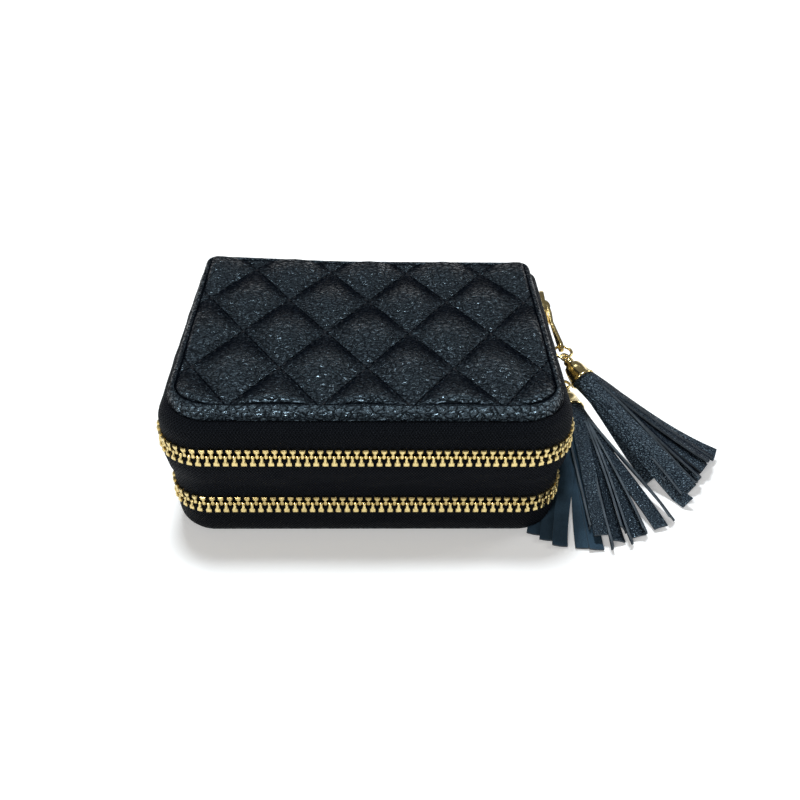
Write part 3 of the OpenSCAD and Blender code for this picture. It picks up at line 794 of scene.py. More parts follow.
@dataclass
class Pocket:
    """The lining's pocket: cloth sewn down on three sides, gathered where it hangs open at the front."""

    thickness: float
    cut: tuple[float, float] = (84.0, 49.0)
    cells: tuple[int, int] = (160, 44)
    lift: float = 0.1
    slack: float = 0.6
    gather: float = 0.42
    gathers: float = 58.0
    hem: float = 0.7
    sag: float = 0.25

    def build(self) -> None:
        low, high = box_mm("lid_pocket")
        middle, half_w, depth = (low.x + high.x) / 2, (high.x - low.x) / 2, high.z - low.z
        bm = bmesh.new()
        bmesh.ops.create_grid(bm, x_segments=self.cells[0], y_segments=self.cells[1], size=1.0)
        for vert in bm.verts:
            across, open_share = vert.co.x, (1 - vert.co.y) / 2
            free = 1 - across ** 8
            bulge = (1 - across ** 6) * smooth(0, 0.75, open_share)
            wave = math.sin(self.gathers * across + 2 * math.sin(7 * across))
            gather = self.gather * wave * open_share ** 2 * free
            hem = self.hem * smooth(0.9, 0.93, open_share) * free
            sag = self.sag * noise.noise(Vector((across * 5, open_share * 3, 2.0))) * bulge
            height = high.z + self.lift - (depth - self.slack) * bulge + gather * (1 - hem) - hem + sag
            vert.co = Vector((middle + across * half_w, high.y - open_share * (high.y - low.y), height))
        piece = finish_mesh(bm, "gathered_pocket", [VELVET], sharp=70)
        thicken(piece, "cloth_thickness", self.thickness, 0)
        seat(piece, "lid", "lining_velvet", "lid_pocket")


@dataclass
class QuiltedLid:
    """The lid: a quilted cover rolled over its edges, and its wadding, board, lining and pocket."""

    case: CaseSizes
    diamonds: Diamonds = Diamonds()
    hem: float = 8.0
    crown: float = 1.9
    valley: float = 0.8
    puff_power: float = 0.75
    pucker: float = 0.09
    pucker_reach: float = 0.9
    sag: float = 0.12
    edge_crease: float = 0.6
    edge_crease_half: float = 0.5
    edge_seam: float = 0.6
    edge_fade: float = 2.2
    lip: float = 1.7
    wrinkle: float = 0.05
    corner_more: float = 1.6
    mesh_step: float = 0.62
    skin: float = 0.6
    back_flap: float = 2.6
    warp: float = 1.7
    warp_reach: float = 60.0
    pad_inset: float = 0.4
    pad_step: float = 1.2
    pad_gap: float = 0.1
    stitch_pitch: float = 3.2
    stitch_share: float = 0.42
    stitch_margin: float = 1.2
    thread_r: float = 0.17
    roll_r: float = field(init=False)
    roll_z: float = field(init=False)
    flat_w: float = field(init=False)
    flat_d: float = field(init=False)

    def __post_init__(self) -> None:
        """Works out the edge's roll and the flat top's halves from the lid's own sizes."""
        self.roll_r = (self.case.top_z - self.case.lid_under_z) / 2
        self.roll_z = self.case.top_z - self.roll_r
        self.flat_w, self.flat_d = self.case.half_w - self.roll_r, self.case.half_d - self.roll_r

    def build(self) -> None:
        """Builds the lid's pieces and dresses its plain nodes."""
        self.cover()
        self.wadding()
        self.stitches()
        dress_node("lid_board", BOARD)
        dress_node("lid_lining", VELVET)
        Pocket(self.skin).build()

    def line_distances(self, x: float, y: float) -> tuple[float, float, float, float]:
        """How far a point lies from each family of stitch lines, and where along them.

        Args:
            x: Across the lid.
            y: Along the lid.

        Returns:
            Distance to the nearest line of each family, then the places along both.
        """
        a, b = x * 2 / self.diamonds.width, (y + self.diamonds.shift) * 2 / self.diamonds.length
        rise, fall = ((v + 1) % 2 for v in (a + b, a - b))
        rise, fall = (min(v, 2 - v) * self.diamonds.gap for v in (rise, fall))
        right, back = x * math.cos(self.diamonds.lean), y * math.sin(self.diamonds.lean)
        return rise, fall, back - right, back + right

    def relief(self, x: float, y: float) -> float:
        """Height of the quilting over the lid's flat top.

        Args:
            x: Across the lid.
            y: Along the lid.

        Returns:
            The height, below zero in the seams.
        """
        rise, fall, along_rise, along_fall = self.line_distances(x, y)
        quarter = math.pi / 2 / self.diamonds.gap
        puff = (math.sin(quarter * rise) * math.sin(quarter * fall)) ** self.puff_power
        pucker = sum(math.cos(math.tau * along / self.stitch_pitch) * math.exp(-distance / self.pucker_reach)
                     for distance, along in ((rise, along_rise), (fall, along_fall)))
        sag = self.sag * noise.noise(Vector((x, y, 3.0)) * 0.09)
        return -self.valley + (self.crown + self.valley) * puff + self.pucker * pucker + sag

    def corner_radius(self, y: float) -> float:
        """Radius of the flat top's corner at the front, where y is negative, or at the back."""
        return (self.case.front_r + self.corner_more if y < 0 else self.case.back_r) - self.roll_r

    def past_edge(self, x: float, y: float) -> tuple[float, Vector]:
        """How far a point of the flat sheet lies past the start of the roll, and which way is out.

        Args:
            x: Across the sheet.
            y: Along the sheet.

        Returns:
            The distance past the roll's start, negative inside it, and the way out.
        """
        side, end = math.copysign(1.0, x), -1.0 if y < 0 else 1.0
        radius = self.corner_radius(y)
        reach = Vector((x, y)) - Vector((side * (self.flat_w - radius), end * (self.flat_d - radius)))
        if reach.x * side > 0 and (reach.y < 0) == (y < 0) and reach.length > 0:
            return reach.length - radius, reach.normalized()
        if abs(x) - self.flat_w >= abs(y) - self.flat_d:
            return abs(x) - self.flat_w, Vector((side, 0))
        return abs(y) - self.flat_d, Vector((0, end))

    def fold_sheet(self, x: float, y: float) -> Vector:
        """Where a point of the flat leather sheet ends up on the lid.

        Args:
            x: Across the sheet.
            y: Along the sheet, positive towards the spine.

        Returns:
            The point on the lid.
        """
        past, way = self.past_edge(x, y)
        flat = Vector((x, y)) - way * max(0.0, past)
        tilt = self.warp * smooth(0, self.warp_reach, -x) * smooth(-self.case.half_d, self.case.half_d, flat.y)
        if past <= 0:
            fade = 1 - smooth(-self.edge_fade, 0.0, past)
            crease = self.edge_crease * math.exp(-(((past + self.edge_seam) / self.edge_crease_half) ** 2))
            return Vector((flat.x, flat.y, self.case.top_z + self.relief(x, y) * fade - crease + tilt))
        limit = math.pi - math.pi / 2 * max(0.0, way.y) ** 2
        turn = min(past / self.roll_r, limit)
        rest = max(0.0, past - limit * self.roll_r)
        radius = self.roll_r + self.wrinkle * noise.noise(Vector((x * 0.5, y * 0.5, 7.0)))
        out = radius * math.sin(turn) + rest * math.cos(limit)
        down = radius * math.cos(turn) - rest * math.sin(limit)
        drop = self.lip * smooth(0, math.pi / 2, turn) * (1 - max(0.0, way.y))
        return Vector((flat.x + way.x * out, flat.y + way.y * out, self.roll_z + down + tilt - drop))

    def round_corner(self, vert: Vector, grown: float, back_grown: float) -> Vector:
        """Moves a point of a rectangle so that the rectangle's corners become round.

        Args:
            vert: The point in the rectangle.
            grown: How far the sheet reaches past the roll's start on three sides.
            back_grown: How far it reaches at the spine.

        Returns:
            The moved point.
        """
        radius = self.corner_radius(vert.y)
        x_span, y_span = radius + grown, radius + (grown if vert.y < 0 else back_grown)
        x_from, y_from = self.flat_w - radius, self.flat_d - radius
        a, b = (abs(vert.x) - x_from) / x_span, (abs(vert.y) - y_from) / y_span
        if a <= 0 or b <= 0:
            return Vector((vert.x, vert.y))
        a, b = a * math.sqrt(1 - b * b / 2), b * math.sqrt(1 - a * a / 2)
        return Vector((math.copysign(x_from + a * x_span, vert.x), math.copysign(y_from + b * y_span, vert.y)))

    def sheet(self, grown: float, back_grown: float, step: float) -> BMesh:
        """A flat sheet with the lid's plan, grown past the start of the edge's roll.

        Args:
            grown: How far it reaches past the roll's start on three sides.
            back_grown: How far it reaches at the spine.
            step: Size of a cell.

        Returns:
            The sheet.
        """
        half_x, front, back = self.flat_w + grown, self.flat_d + grown, self.flat_d + back_grown
        bm = bmesh.new()
        bmesh.ops.create_grid(bm, x_segments=round(2 * half_x / step), y_segments=round((front + back) / step),
                              size=0.5)
        bmesh.ops.scale(bm, vec=(2 * half_x, front + back, 1), verts=bm.verts)
        bmesh.ops.translate(bm, vec=(0, (back - front) / 2, 0), verts=bm.verts)
        for vert in bm.verts:
            vert.co.xy = self.round_corner(vert.co, grown, back_grown)
        return bm

    def cover(self) -> None:
        """The quilted leather, rolled round the edge and turned under as a hem."""
        bm = self.sheet(math.pi * self.roll_r + self.hem - self.roll_r,
                        math.pi / 2 * self.roll_r + self.back_flap, self.mesh_step)
        inside = bm.verts.layers.float.new("seam_gap")
        for vert in bm.verts:
            vert[inside] = self.past_edge(vert.co.x, vert.co.y)[0] + self.edge_seam
            vert.co = self.fold_sheet(vert.co.x, vert.co.y)
        piece = finish_mesh(bm, "quilted_cover", [QUILTED_LEATHER], sharp=70)
        thicken(piece, "leather_thickness", self.skin, -1)
        seat(piece, "lid", "quilted_leather", "lid_leather")

    def wadding(self) -> None:
        """The pad under the cover, drawn in along the same stitch lines."""
        bm = self.sheet(-self.pad_inset, -self.pad_inset, self.pad_step)
        made = bmesh.ops.extrude_face_region(bm, geom=bm.faces[:])["geom"]
        top = {vert for vert in made if isinstance(vert, BMVert)}
        level = self.case.top_z - self.skin - self.pad_gap - self.valley * 0.5
        for vert in bm.verts:
            vert.co.z = level + min(0.0, self.relief(vert.co.x, vert.co.y)) if vert in top else self.roll_z
        bmesh.ops.recalc_face_normals(bm, faces=bm.faces)
        seat(finish_mesh(bm, "quilted_wadding", [WADDING]), "lid", "wadding", "lid_wadding")

    def stitches(self) -> None:
        """Single stitches lying in the quilting's grooves."""
        bm = bmesh.new()
        half_w, half_d = self.flat_w - self.stitch_margin, self.flat_d - self.stitch_margin
        lines, steps = range(-5, 5), range(-24, 25)
        for side in (-1, 1):
            way = Vector((side * math.cos(self.diamonds.lean), math.sin(self.diamonds.lean), 0))
            across = Vector((-way.y, way.x, 0))
            for line, step in product(lines, steps):
                start = Vector((0, -self.diamonds.shift, 0)) + across * (line + 0.5) * 2 * self.diamonds.gap
                middle = start + way * (step + 0.5) * self.stitch_pitch
                if abs(middle.x) <= half_w and abs(middle.y) <= half_d:
                    self.stitch(bm, middle, way)
        seat(finish_mesh(bm, "quilting_stitches", [THREAD]), "lid", "quilted_leather")

    def stitch(self, bm: BMesh, middle: Vector, way: Vector) -> None:
        """Adds one stitch to the lid's top.

        Args:
            bm: The mesh to add to.
            middle: Its middle, in plan.
            way: Its direction, in plan.
        """
        height = self.fold_sheet(middle.x, middle.y).z
        place = frame_at(Vector((middle.x, middle.y, height + self.thread_r * 0.35)), way, UP.cross(way))
        size = Matrix.Diagonal((self.stitch_pitch * self.stitch_share, self.thread_r, self.thread_r, 1))
        bmesh.ops.create_icosphere(bm, subdivisions=1, radius=1, matrix=place @ size)


# ---- zips ----


@dataclass(frozen=True)
class Cloth:
    """Sizes that every woven wall shares: how it leaves the teeth, ripples, and reaches in under a cover."""

    thickness: float = 0.55
    edge: float = 1.0
    edge_step: float = 1.4
    straight: float = 5.2
    turned_in: float = -2.2
    step: float = 1.3
    fade: float = 2.5
    waves: tuple[float, float] = (0.12, 0.2)

    def edge_line(self, out: float, chain_z: float, up: int) -> list[Vector]:
        """Three points of a tape's straight edge, from its teeth on, up or down."""
        return [Vector((out, chain_z + up * (self.edge + self.edge_step * i))) for i in range(3)]


CLOTH = Cloth()


def wall_outline(middle: list[Vector]) -> list[Vector]:
    """A wall's section: its middle line moved half a thickness out, then back on the other side.

    Args:
        middle: The wall's middle line.

    Returns:
        The section's points.
    """
    sides = []
    for i in range(len(middle)):
        step = middle[min(i + 1, len(middle) - 1)] - middle[max(i - 1, 0)]
        sides.append(Vector((-step.y, step.x)).normalized() * CLOTH.thickness / 2)
    return [p + n for p, n in zip(middle, sides)] + [p - n for p, n in zip(middle[::-1], sides[::-1])]


def cloth_wall(case: CaseSizes, middle: list[Vector], ripple: float, flat: float) -> BMesh:
    """A woven wall swept round the case, which ripples a little where nothing holds it.

    Each vertex keeps its place in the cloth: distance along it, and distance across it.

    Args:
        case: The case's sizes.
        middle: The wall's middle line: out from the covers' edge, and height.
        ripple: Depth of the ripple.
        flat: Width of cloth at each edge that stays flat.

    Returns:
        The wall.
    """
    outline = wall_outline(middle)
    widths = list(accumulate(((b - a).length for a, b in zip(middle, middle[1:])), initial=0.0))
    path = EdgePath(case.half_w, case.half_d, case.front_r, case.spine_y)
    lengths = even_steps(0.0, path.total, CLOTH.step)
    bm = bmesh.new()
    sweep(bm, outline, [path.outward_place(u) for u in lengths], lengths)
    along, order = bm.verts.layers.float["along"], bm.verts.layers.int["order"]
    cloth = bm.verts.layers.float_vector.new("cloth")
    last, far = len(outline) - 1, widths[-1] - flat
    for vert in bm.verts:
        across = widths[min(vert[order], last - vert[order])]
        vert[cloth] = (vert[along], across, 0)
        free = smooth(flat, flat + CLOTH.fade, across) * (1 - smooth(far - CLOTH.fade, far, across))
        wave = noise.noise(Vector((vert[along] * CLOTH.waves[0], across * CLOTH.waves[1], middle[0].y)))
        out = path.outward_place(vert[along]).to_3x3() @ Vector((1, 0, 0))
        vert.co += out * wave * free * ripple
    bmesh.ops.recalc_face_normals(bm, faces=bm.faces)
    return bm


@dataclass
class MiddleBand:
    """The woven wall between the two zips, held by the board between the tiers."""

    case: CaseSizes
    knee: float = 2.4
    ledge_out: float = 1.2
    ledge_z: float = 0.9
    ripple: float = 0.7
    flat: float = 5.0

    def build(self) -> None:
        """Builds the wall, and the two ledges that hold it to the board."""
        case = self.case
        upper = Vector((case.upper_out, case.upper_chain_z - CLOTH.straight))
        lower = Vector((case.lower_out, case.lower_chain_z + CLOTH.straight))
        lean = [upper, upper - Vector((0, self.knee)), lower + Vector((0, self.knee)), lower]
        middle = CLOTH.edge_line(case.upper_out, case.upper_chain_z, -1)
        middle += [bezier(lean, i / 12) for i in range(13)]
        middle += CLOTH.edge_line(case.lower_out, case.lower_chain_z, 1)[::-1]
        bm = cloth_wall(case, middle, self.ripple, self.flat)
        for up in (1, -1):
            ledge = [Vector((out, case.middle_z + up * self.ledge_z)) for out in (self.ledge_out, CLOTH.turned_in)]
            add_part(bm, cloth_wall(case, ledge, 0.0, 1.0))
        piece = finish_mesh(bm, "middle_band_woven", [ZIP_TAPE], sharp=50)
        seat(piece, "middle", "zip_tape", "upper_zip_lower_tape", "lower_zip_upper_tape")


@dataclass
class Zip:
    """One zip: two woven tapes and two rows of teeth, joined tooth by tooth."""

    case: CaseSizes
    level: Level
    chain_z: float
    out: float
    bodies: dict[Row, str]
    outer_row: Row
    seam: tuple[float, float]
    pitch: float = 2.5
    reach: float = 2.85
    head: float = 0.5
    tooth_t: float = 2.3
    tooth_side: tuple[tuple[float, float], ...] = (
        (0.8, 2.1), (0.7, 1.7), (0.4, 1.4), (0.34, 0.8), (0.5, 0.42), (0.54, -0.1), (0.4, -0.42))
    heel_half: float = 0.78
    nose_half: float = 0.2
    head_thin: float = 0.74
    eased: float = 0.26
    first_tooth: float = 5.8
    sloppy: float = 1.6
    handles: tuple[float, float] = (0.55, 0.35)
    ripple: float = 0.5
    flat: float = 3.8

    def build(self) -> None:
        """Builds both rows, and the tape that leads to the lid or the base."""
        self.tape()
        for row in Row:
            self.teeth(row)

    def tape_profile(self) -> list[Vector]:
        """Middle line of the tape: out from the covers' edge, and height.

        Returns:
            Points from the teeth to the seam.
        """
        up = self.outer_row.value
        seam_out, seam_z = self.seam
        out, straight = self.out, self.chain_z + up * CLOTH.straight
        rise, run = self.handles
        lean = [Vector((out, straight)), Vector((out, straight + (seam_z - straight) * rise)),
                Vector((out - (out - seam_out) * run, seam_z)), Vector((seam_out, seam_z))]
        edge = CLOTH.edge_line(out, self.chain_z, up)
        return edge + [bezier(lean, i / 8) for i in range(9)] + [Vector((CLOTH.turned_in, seam_z))]

    def tape(self) -> None:
        """The woven tape between this zip and the lid or the base."""
        bm = cloth_wall(self.case, self.tape_profile(), self.ripple, self.flat)
        name = self.outer_row.name.lower()
        piece = finish_mesh(bm, f"{self.level}_zip_{name}_woven_tape", [ZIP_TAPE], sharp=50)
        seat(piece, self.bodies[self.outer_row], "zip_tape", f"{self.level}_zip_{name}_tape")

    def tooth(self) -> Mesh:
        """One tooth: a crimped heel, a waist and a small head, with eased edges.

        Returns:
            A mesh in millimetres, X along the chain, Y towards the tape and Z outward.
        """
        right = [(self.heel_half, self.reach), *self.tooth_side, (self.nose_half, -self.head)]
        outline = right + [(-x, y) for x, y in right[::-1]]
        bm = bmesh.new()
        sweep(bm, outline, [Matrix.Translation((0, 0, z * self.tooth_t / 2)) for z in (-1, 1)])
        for vert in bm.verts:
            vert.co.z *= self.head_thin + (1 - self.head_thin) * smooth(0.6, 2.0, vert.co.y)
        bmesh.ops.recalc_face_normals(bm, faces=bm.faces)
        rims = [e for e in bm.edges if abs(e.verts[0].co.z - e.verts[1].co.z) < 0.6]
        ease(bm, rims, self.eased, 1)
        mesh = bpy.data.meshes.new("one_tooth")
        bm.to_mesh(mesh)
        bm.free()
        return mesh

    def teeth(self, row: Row) -> None:
        """Both stretches of one row of teeth: the main one, and the one that the slider passes.

        Args:
            row: The row.
        """
        case, out = self.case, self.out
        path = EdgePath(case.half_w + out, case.half_d + out, case.front_r + out, case.spine_y - self.first_tooth)
        count, side_count = int(path.total / self.pitch), int(path.side / self.pitch)
        stretches = {"teeth": range(count - side_count), "side_teeth": range(count - side_count, count)}
        pattern = self.tooth()
        dice = random.Random(f"{self.level}{row.name}")
        shift = 0.0 if row is Row.UPPER else self.pitch / 2
        for label, numbers in stretches.items():
            bm = bmesh.new()
            for number in numbers:
                place = path.outward_place(number * self.pitch + shift, self.chain_z)
                lean = math.radians(dice.uniform(-self.sloppy, self.sloppy)) + (0.0 if row is Row.UPPER else math.pi)
                turned = place @ Matrix.Rotation(-math.pi / 2, 4, "Y") @ Matrix.Rotation(lean, 4, "Z")
                before = len(bm.verts)
                bm.from_mesh(pattern)
                bm.verts.ensure_lookup_table()
                bmesh.ops.transform(bm, matrix=turned, verts=bm.verts[before:])
            name = row.name.lower()
            piece = finish_mesh(bm, f"{self.level}_zip_{name}_{label}_cast", [ZIP_BRASS], sharp=30)
            seat(piece, self.bodies[row], "zip_brass", f"{self.level}_zip_{name}_{label}")
        bpy.data.meshes.remove(pattern)


@dataclass(frozen=True)
class TasselPlace:
    """Where a puller pivots, and how the puller and the tassel's cap lie: their angles in degrees."""

    pivot: tuple[float, float, float]
    pull_out: float
    pull_drop: float
    cap_turn: tuple[float, float]
    pull_l: float = 23.0
    ring_r: float = 2.9

    def pull(self) -> Matrix:
        """The puller's place: it lies along -Y, with its crossbar along Z."""
        turns = Euler((math.radians(self.pull_drop), 0, math.radians(self.pull_out))).to_matrix().to_4x4()
        return Matrix.Translation(self.pivot) @ turns

    def ring_end(self) -> Vector:
        """Far point of the ring that the cap hangs from."""
        return self.pull() @ Vector((0, -self.pull_l - 2 * self.ring_r, 0))

    def cap_way(self) -> Vector:
        """Direction that the cap points in."""
        turn, pitch = (math.radians(a) for a in self.cap_turn)
        return Vector((math.cos(pitch) * math.cos(turn), math.cos(pitch) * math.sin(turn), math.sin(pitch)))

    def cap(self) -> Matrix:
        """The cap's place: its axis is Z, from the ring's far point.

        Returns:
            The place as a matrix.
        """
        way = self.cap_way()
        side = UP.cross(way).normalized()
        return frame_at(self.ring_end(), side, way.cross(side))


@dataclass
class Hardware:
    """One zip's slider, puller, stops and ring, and its tassel's cap: cast and turned brass with eased edges."""

    level: Level
    place: TasselPlace
    eased: float = 0.22
    neck_share: float = 0.47
    neck_span: tuple[float, float] = (7.0, 9.7)
    end_share: float = 0.8
    end_span: tuple[float, float] = (10.5, 21.0)
    loop_r: float = 1.3
    wire_r: float = 0.45
    cap_l: float = 8.6
    rim_r: float = 4.2

    def build(self) -> None:
        """Builds the slider, the puller and the cap, and dresses the rings and stops."""
        node = f"{self.level}_slider"
        slider = finish_mesh(softened_copy(node, self.eased), f"{node}_cast", [SLIDER_BRASS], sharp=35)
        seat(slider, node, "slider_brass", node)
        self.puller()
        self.cap()
        dress_node(f"{self.level}_tassel_ring", SLIDER_BRASS)
        dress_node(f"{self.level}_zip_upper_stop", ZIP_BRASS)
        dress_node(f"{self.level}_zip_lower_stops", ZIP_BRASS)

    def puller(self) -> None:
        """The puller: its eye, drawn in to a slender neck before the hole for the ring."""
        node = f"{self.level}_pull"
        bm = softened_copy(node, self.eased)
        place = self.place.pull()
        home = place.inverted()
        for vert in bm.verts:
            flat = home @ vert.co
            share = 1 + (self.neck_share - 1) * smooth(*self.neck_span, -flat.y)
            share += (self.end_share - self.neck_share) * smooth(*self.end_span, -flat.y)
            flat.z *= share
            vert.co = place @ flat
        seat(finish_mesh(bm, f"{node}_cast", [SLIDER_BRASS], sharp=35), node, "slider_brass", node)

    def cap(self) -> None:
        """The tassel's cap: a wire loop, then a bell with a rolled rim, both turned from a radius and a height."""
        neck = self.loop_r + self.wire_r
        rim, end = self.rim_r, neck + self.cap_l
        bell = [(0.01, neck - 0.45), (1.3, neck - 0.45), (1.62, neck - 0.1), (1.7, neck + 0.6), (1.5, neck + 1.0),
                (1.7, neck + 1.5), (2.7, neck + 2.4), (3.15, neck + 4.0), (rim - 0.35, end - 1.0),
                (rim, end - 0.75), (rim + 0.05, end - 0.3), (rim - 0.15, end), (rim - 0.45, end - 0.1),
                (rim - 0.6, end - 0.9), (2.2, neck + 3.4), (0.01, neck + 2.6)]
        bm = bmesh.new()
        self.turn(bm, bell, Matrix.Identity(4), 48)
        wire = [(self.loop_r + self.wire_r * math.cos(a), self.wire_r * math.sin(a))
                for a in (math.tau * i / 10 for i in range(10))]
        self.turn(bm, wire + wire[:1], Matrix.Rotation(math.pi / 2, 4, "X"), 32)
        bmesh.ops.recalc_face_normals(bm, faces=bm.faces)
        bmesh.ops.transform(bm, matrix=self.place.cap(), verts=bm.verts)
        node = f"{self.level}_tassel_cap"
        seat(finish_mesh(bm, f"{node}_turned", [SLIDER_BRASS], sharp=50), f"{self.level}_tassel", "slider_brass", node)

    def turn(self, bm: BMesh, profile: list[tuple[float, float]], place: Matrix, steps: int) -> None:
        """Turns a profile of radius and height about Z, and moves it into place.

        Args:
            bm: The mesh to add to.
            profile: Points of the profile.
            place: Where the turned piece goes.
            steps: Steps in a full turn.
        """
        part = bmesh.new()
        points = [part.verts.new((radius, 0, height)) for radius, height in profile]
        edges = [part.edges.new(pair) for pair in zip(points, points[1:])]
        bmesh.ops.spin(part, geom=points + edges, cent=(0, 0, 0), axis=(0, 0, 1), angle=math.tau, steps=steps,
                       use_merge=True, use_duplicate=False)
        bmesh.ops.remove_doubles(part, verts=part.verts, dist=0.02)
        bmesh.ops.transform(part, matrix=place, verts=part.verts)
        add_part(bm, part)


# ---- spine ----


@dataclass
class Spine:
    """The spine leather: one strip behind the case that bends at two folds."""

    case: CaseSizes
    thickness: float = 1.5
    fold_half: float = 2.6
    crease: float = 0.28
    crease_half: float = 0.7
    unevenness: float = 0.06
    corner_r: float = 1.2
    foot: float = 1.6
    foot_blend: float = 0.6
    foot_in: float = 1.5
    lid_blend: tuple[float, float] = (-4.0, -0.4)
    lid_in: float = 0.8
    tape_half: float = 0.3
    top_gap: float = 3.2
    bottom: float = 0.02
    level_step: float = 0.45
    width_step: float = 1.0

    def build(self) -> None:
        """Builds the strip in two lengths, each across one fold."""
        case = self.case
        self.length("spine_cover_lower", self.bottom, case.middle_z, case.lower_chain_z, ("base", "middle"),
                    ("base_spine",))
        self.length("spine_cover_upper", case.middle_z, case.top_z - self.top_gap, case.upper_chain_z,
                    ("middle", "lid"), ("middle_spine", "lid_spine"))

    def half_width(self, z: float) -> float:
        """Half of the strip's width: narrow at the foot and under the lid's edge, as wide as each zip between.

        Args:
            z: The height.

        Returns:
            Half of the width there.
        """
        case = self.case
        lower, upper = (case.half_w + out + self.tape_half for out in (case.lower_out, case.upper_out))
        foot = case.half_w - self.foot_in
        wide = foot + (lower - foot) * smooth(self.foot - self.foot_blend, self.foot + self.foot_blend, z)
        wide += (upper - lower) * smooth(case.middle_z, case.upper_chain_z - CLOTH.straight, z)
        return wide - (upper - case.half_w + self.lid_in) * smooth(*self.lid_blend, z - case.lid_under_z)

    @property
    def full_half_w(self) -> float:
        """Half of the strip's width at its widest."""
        return self.case.half_w + self.case.upper_out + self.tape_half

    def length(self, name: str, low: float, high: float, fold_z: float, bodies: tuple[str, str],
               nodes: tuple[str, ...]) -> None:
        """One length of the strip, which bends between two bodies.

        Args:
            name: The piece's name.
            low: Its lowest height.
            high: Its highest height.
            fold_z: The fold's height.
            bodies: The bodies below and above the fold.
            nodes: The nodes that it stands for.
        """
        bm = bmesh.new()
        levels = even_steps(low, high, self.level_step)
        sweep(bm, self.outline(), [Matrix.Translation((0, 0, z)) for z in levels])
        for vert in bm.verts:
            outer_share = (vert.co.y - self.case.spine_y) / self.thickness
            dent = self.crease * math.exp(-(((vert.co.z - fold_z) / self.crease_half) ** 2))
            grain = self.unevenness * noise.noise(Vector((vert.co.x * 0.06, vert.co.z * 0.3, 2.0)))
            vert.co.x *= self.half_width(vert.co.z) / self.full_half_w
            vert.co.y -= (dent - grain) * max(0.0, outer_share)
        bmesh.ops.recalc_face_normals(bm, faces=bm.faces)
        piece = finish_mesh(bm, name, [COVER_LEATHER], sharp=50)
        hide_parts(*nodes)
        pivot_y = (self.case.spine_y + self.thickness / 2) * MM
        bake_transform(piece, *bodies, start=(0, pivot_y, (fold_z - self.fold_half) * MM),
                 end=(0, pivot_y, (fold_z + self.fold_half) * MM))
        LOG.info("%s: %d faces between %s and %s", name, len(piece.data.polygons), *bodies)

    def outline(self) -> list[tuple[float, float]]:
        """Plan of the strip: a long bar with rounded outer corners.

        Returns:
            Points in X and Y.
        """
        wide, inner, outer = self.full_half_w, self.case.spine_y, self.case.spine_y + self.thickness
        r = self.corner_r
        count = round(2 * (wide - r) / self.width_step)
        back = [(wide - r - 2 * (wide - r) * i / count, outer) for i in range(count + 1)]
        right = [(wide - r + r * math.sin(a), outer - r + r * math.cos(a))
                 for a in map(math.radians, (90, 67, 45, 22))]
        left = [(-x, y) for x, y in right[::-1]]
        front = [(-wide, inner), (wide, inner)]
        return front + right + back + left


# ---- trays ----


@dataclass
class Trays:
    """Both trays' velvet-covered walls, dividers and ring rolls."""

    eased: float = 0.45
    roll_eased: float = 1.2

    def build(self) -> None:
        """Builds the soft-edged walls and dresses the linings and boards."""
        bodies = {Level.UPPER: "middle", Level.LOWER: "base"}
        for level, body in bodies.items():
            for part in ("tray_wall", "tray_dividers"):
                node = f"{level}_{part}"
                piece = finish_mesh(softened_copy(node, self.eased, 3), f"{node}_velvet", [VELVET], sharp=60)
                seat(piece, body, "lining_velvet", node)
        rolls = finish_mesh(softened_copy("ring_rolls", self.roll_eased, 4), "velvet_ring_rolls", [VELVET], sharp=60)
        seat(rolls, "middle", "lining_velvet", "ring_rolls")
        for node in ("middle_top_lining", "middle_under_lining", "base_lining"):
            dress_node(node, VELVET)
        for node in ("middle_board", "base_board"):
            dress_node(node, BOARD)
        dress_node("base_leather", COVER_LEATHER)


# ---- tassels ----


@dataclass(frozen=True)
class Strip:
    """One leather strip: where its tip lies from the ring's far point, its height, and how it is turned.

    The turn is the angle of its grain side about the strip: 0 faces left, 90 up, 180 right and 270 down.
    """

    x: float
    y: float
    z: float
    turn: float


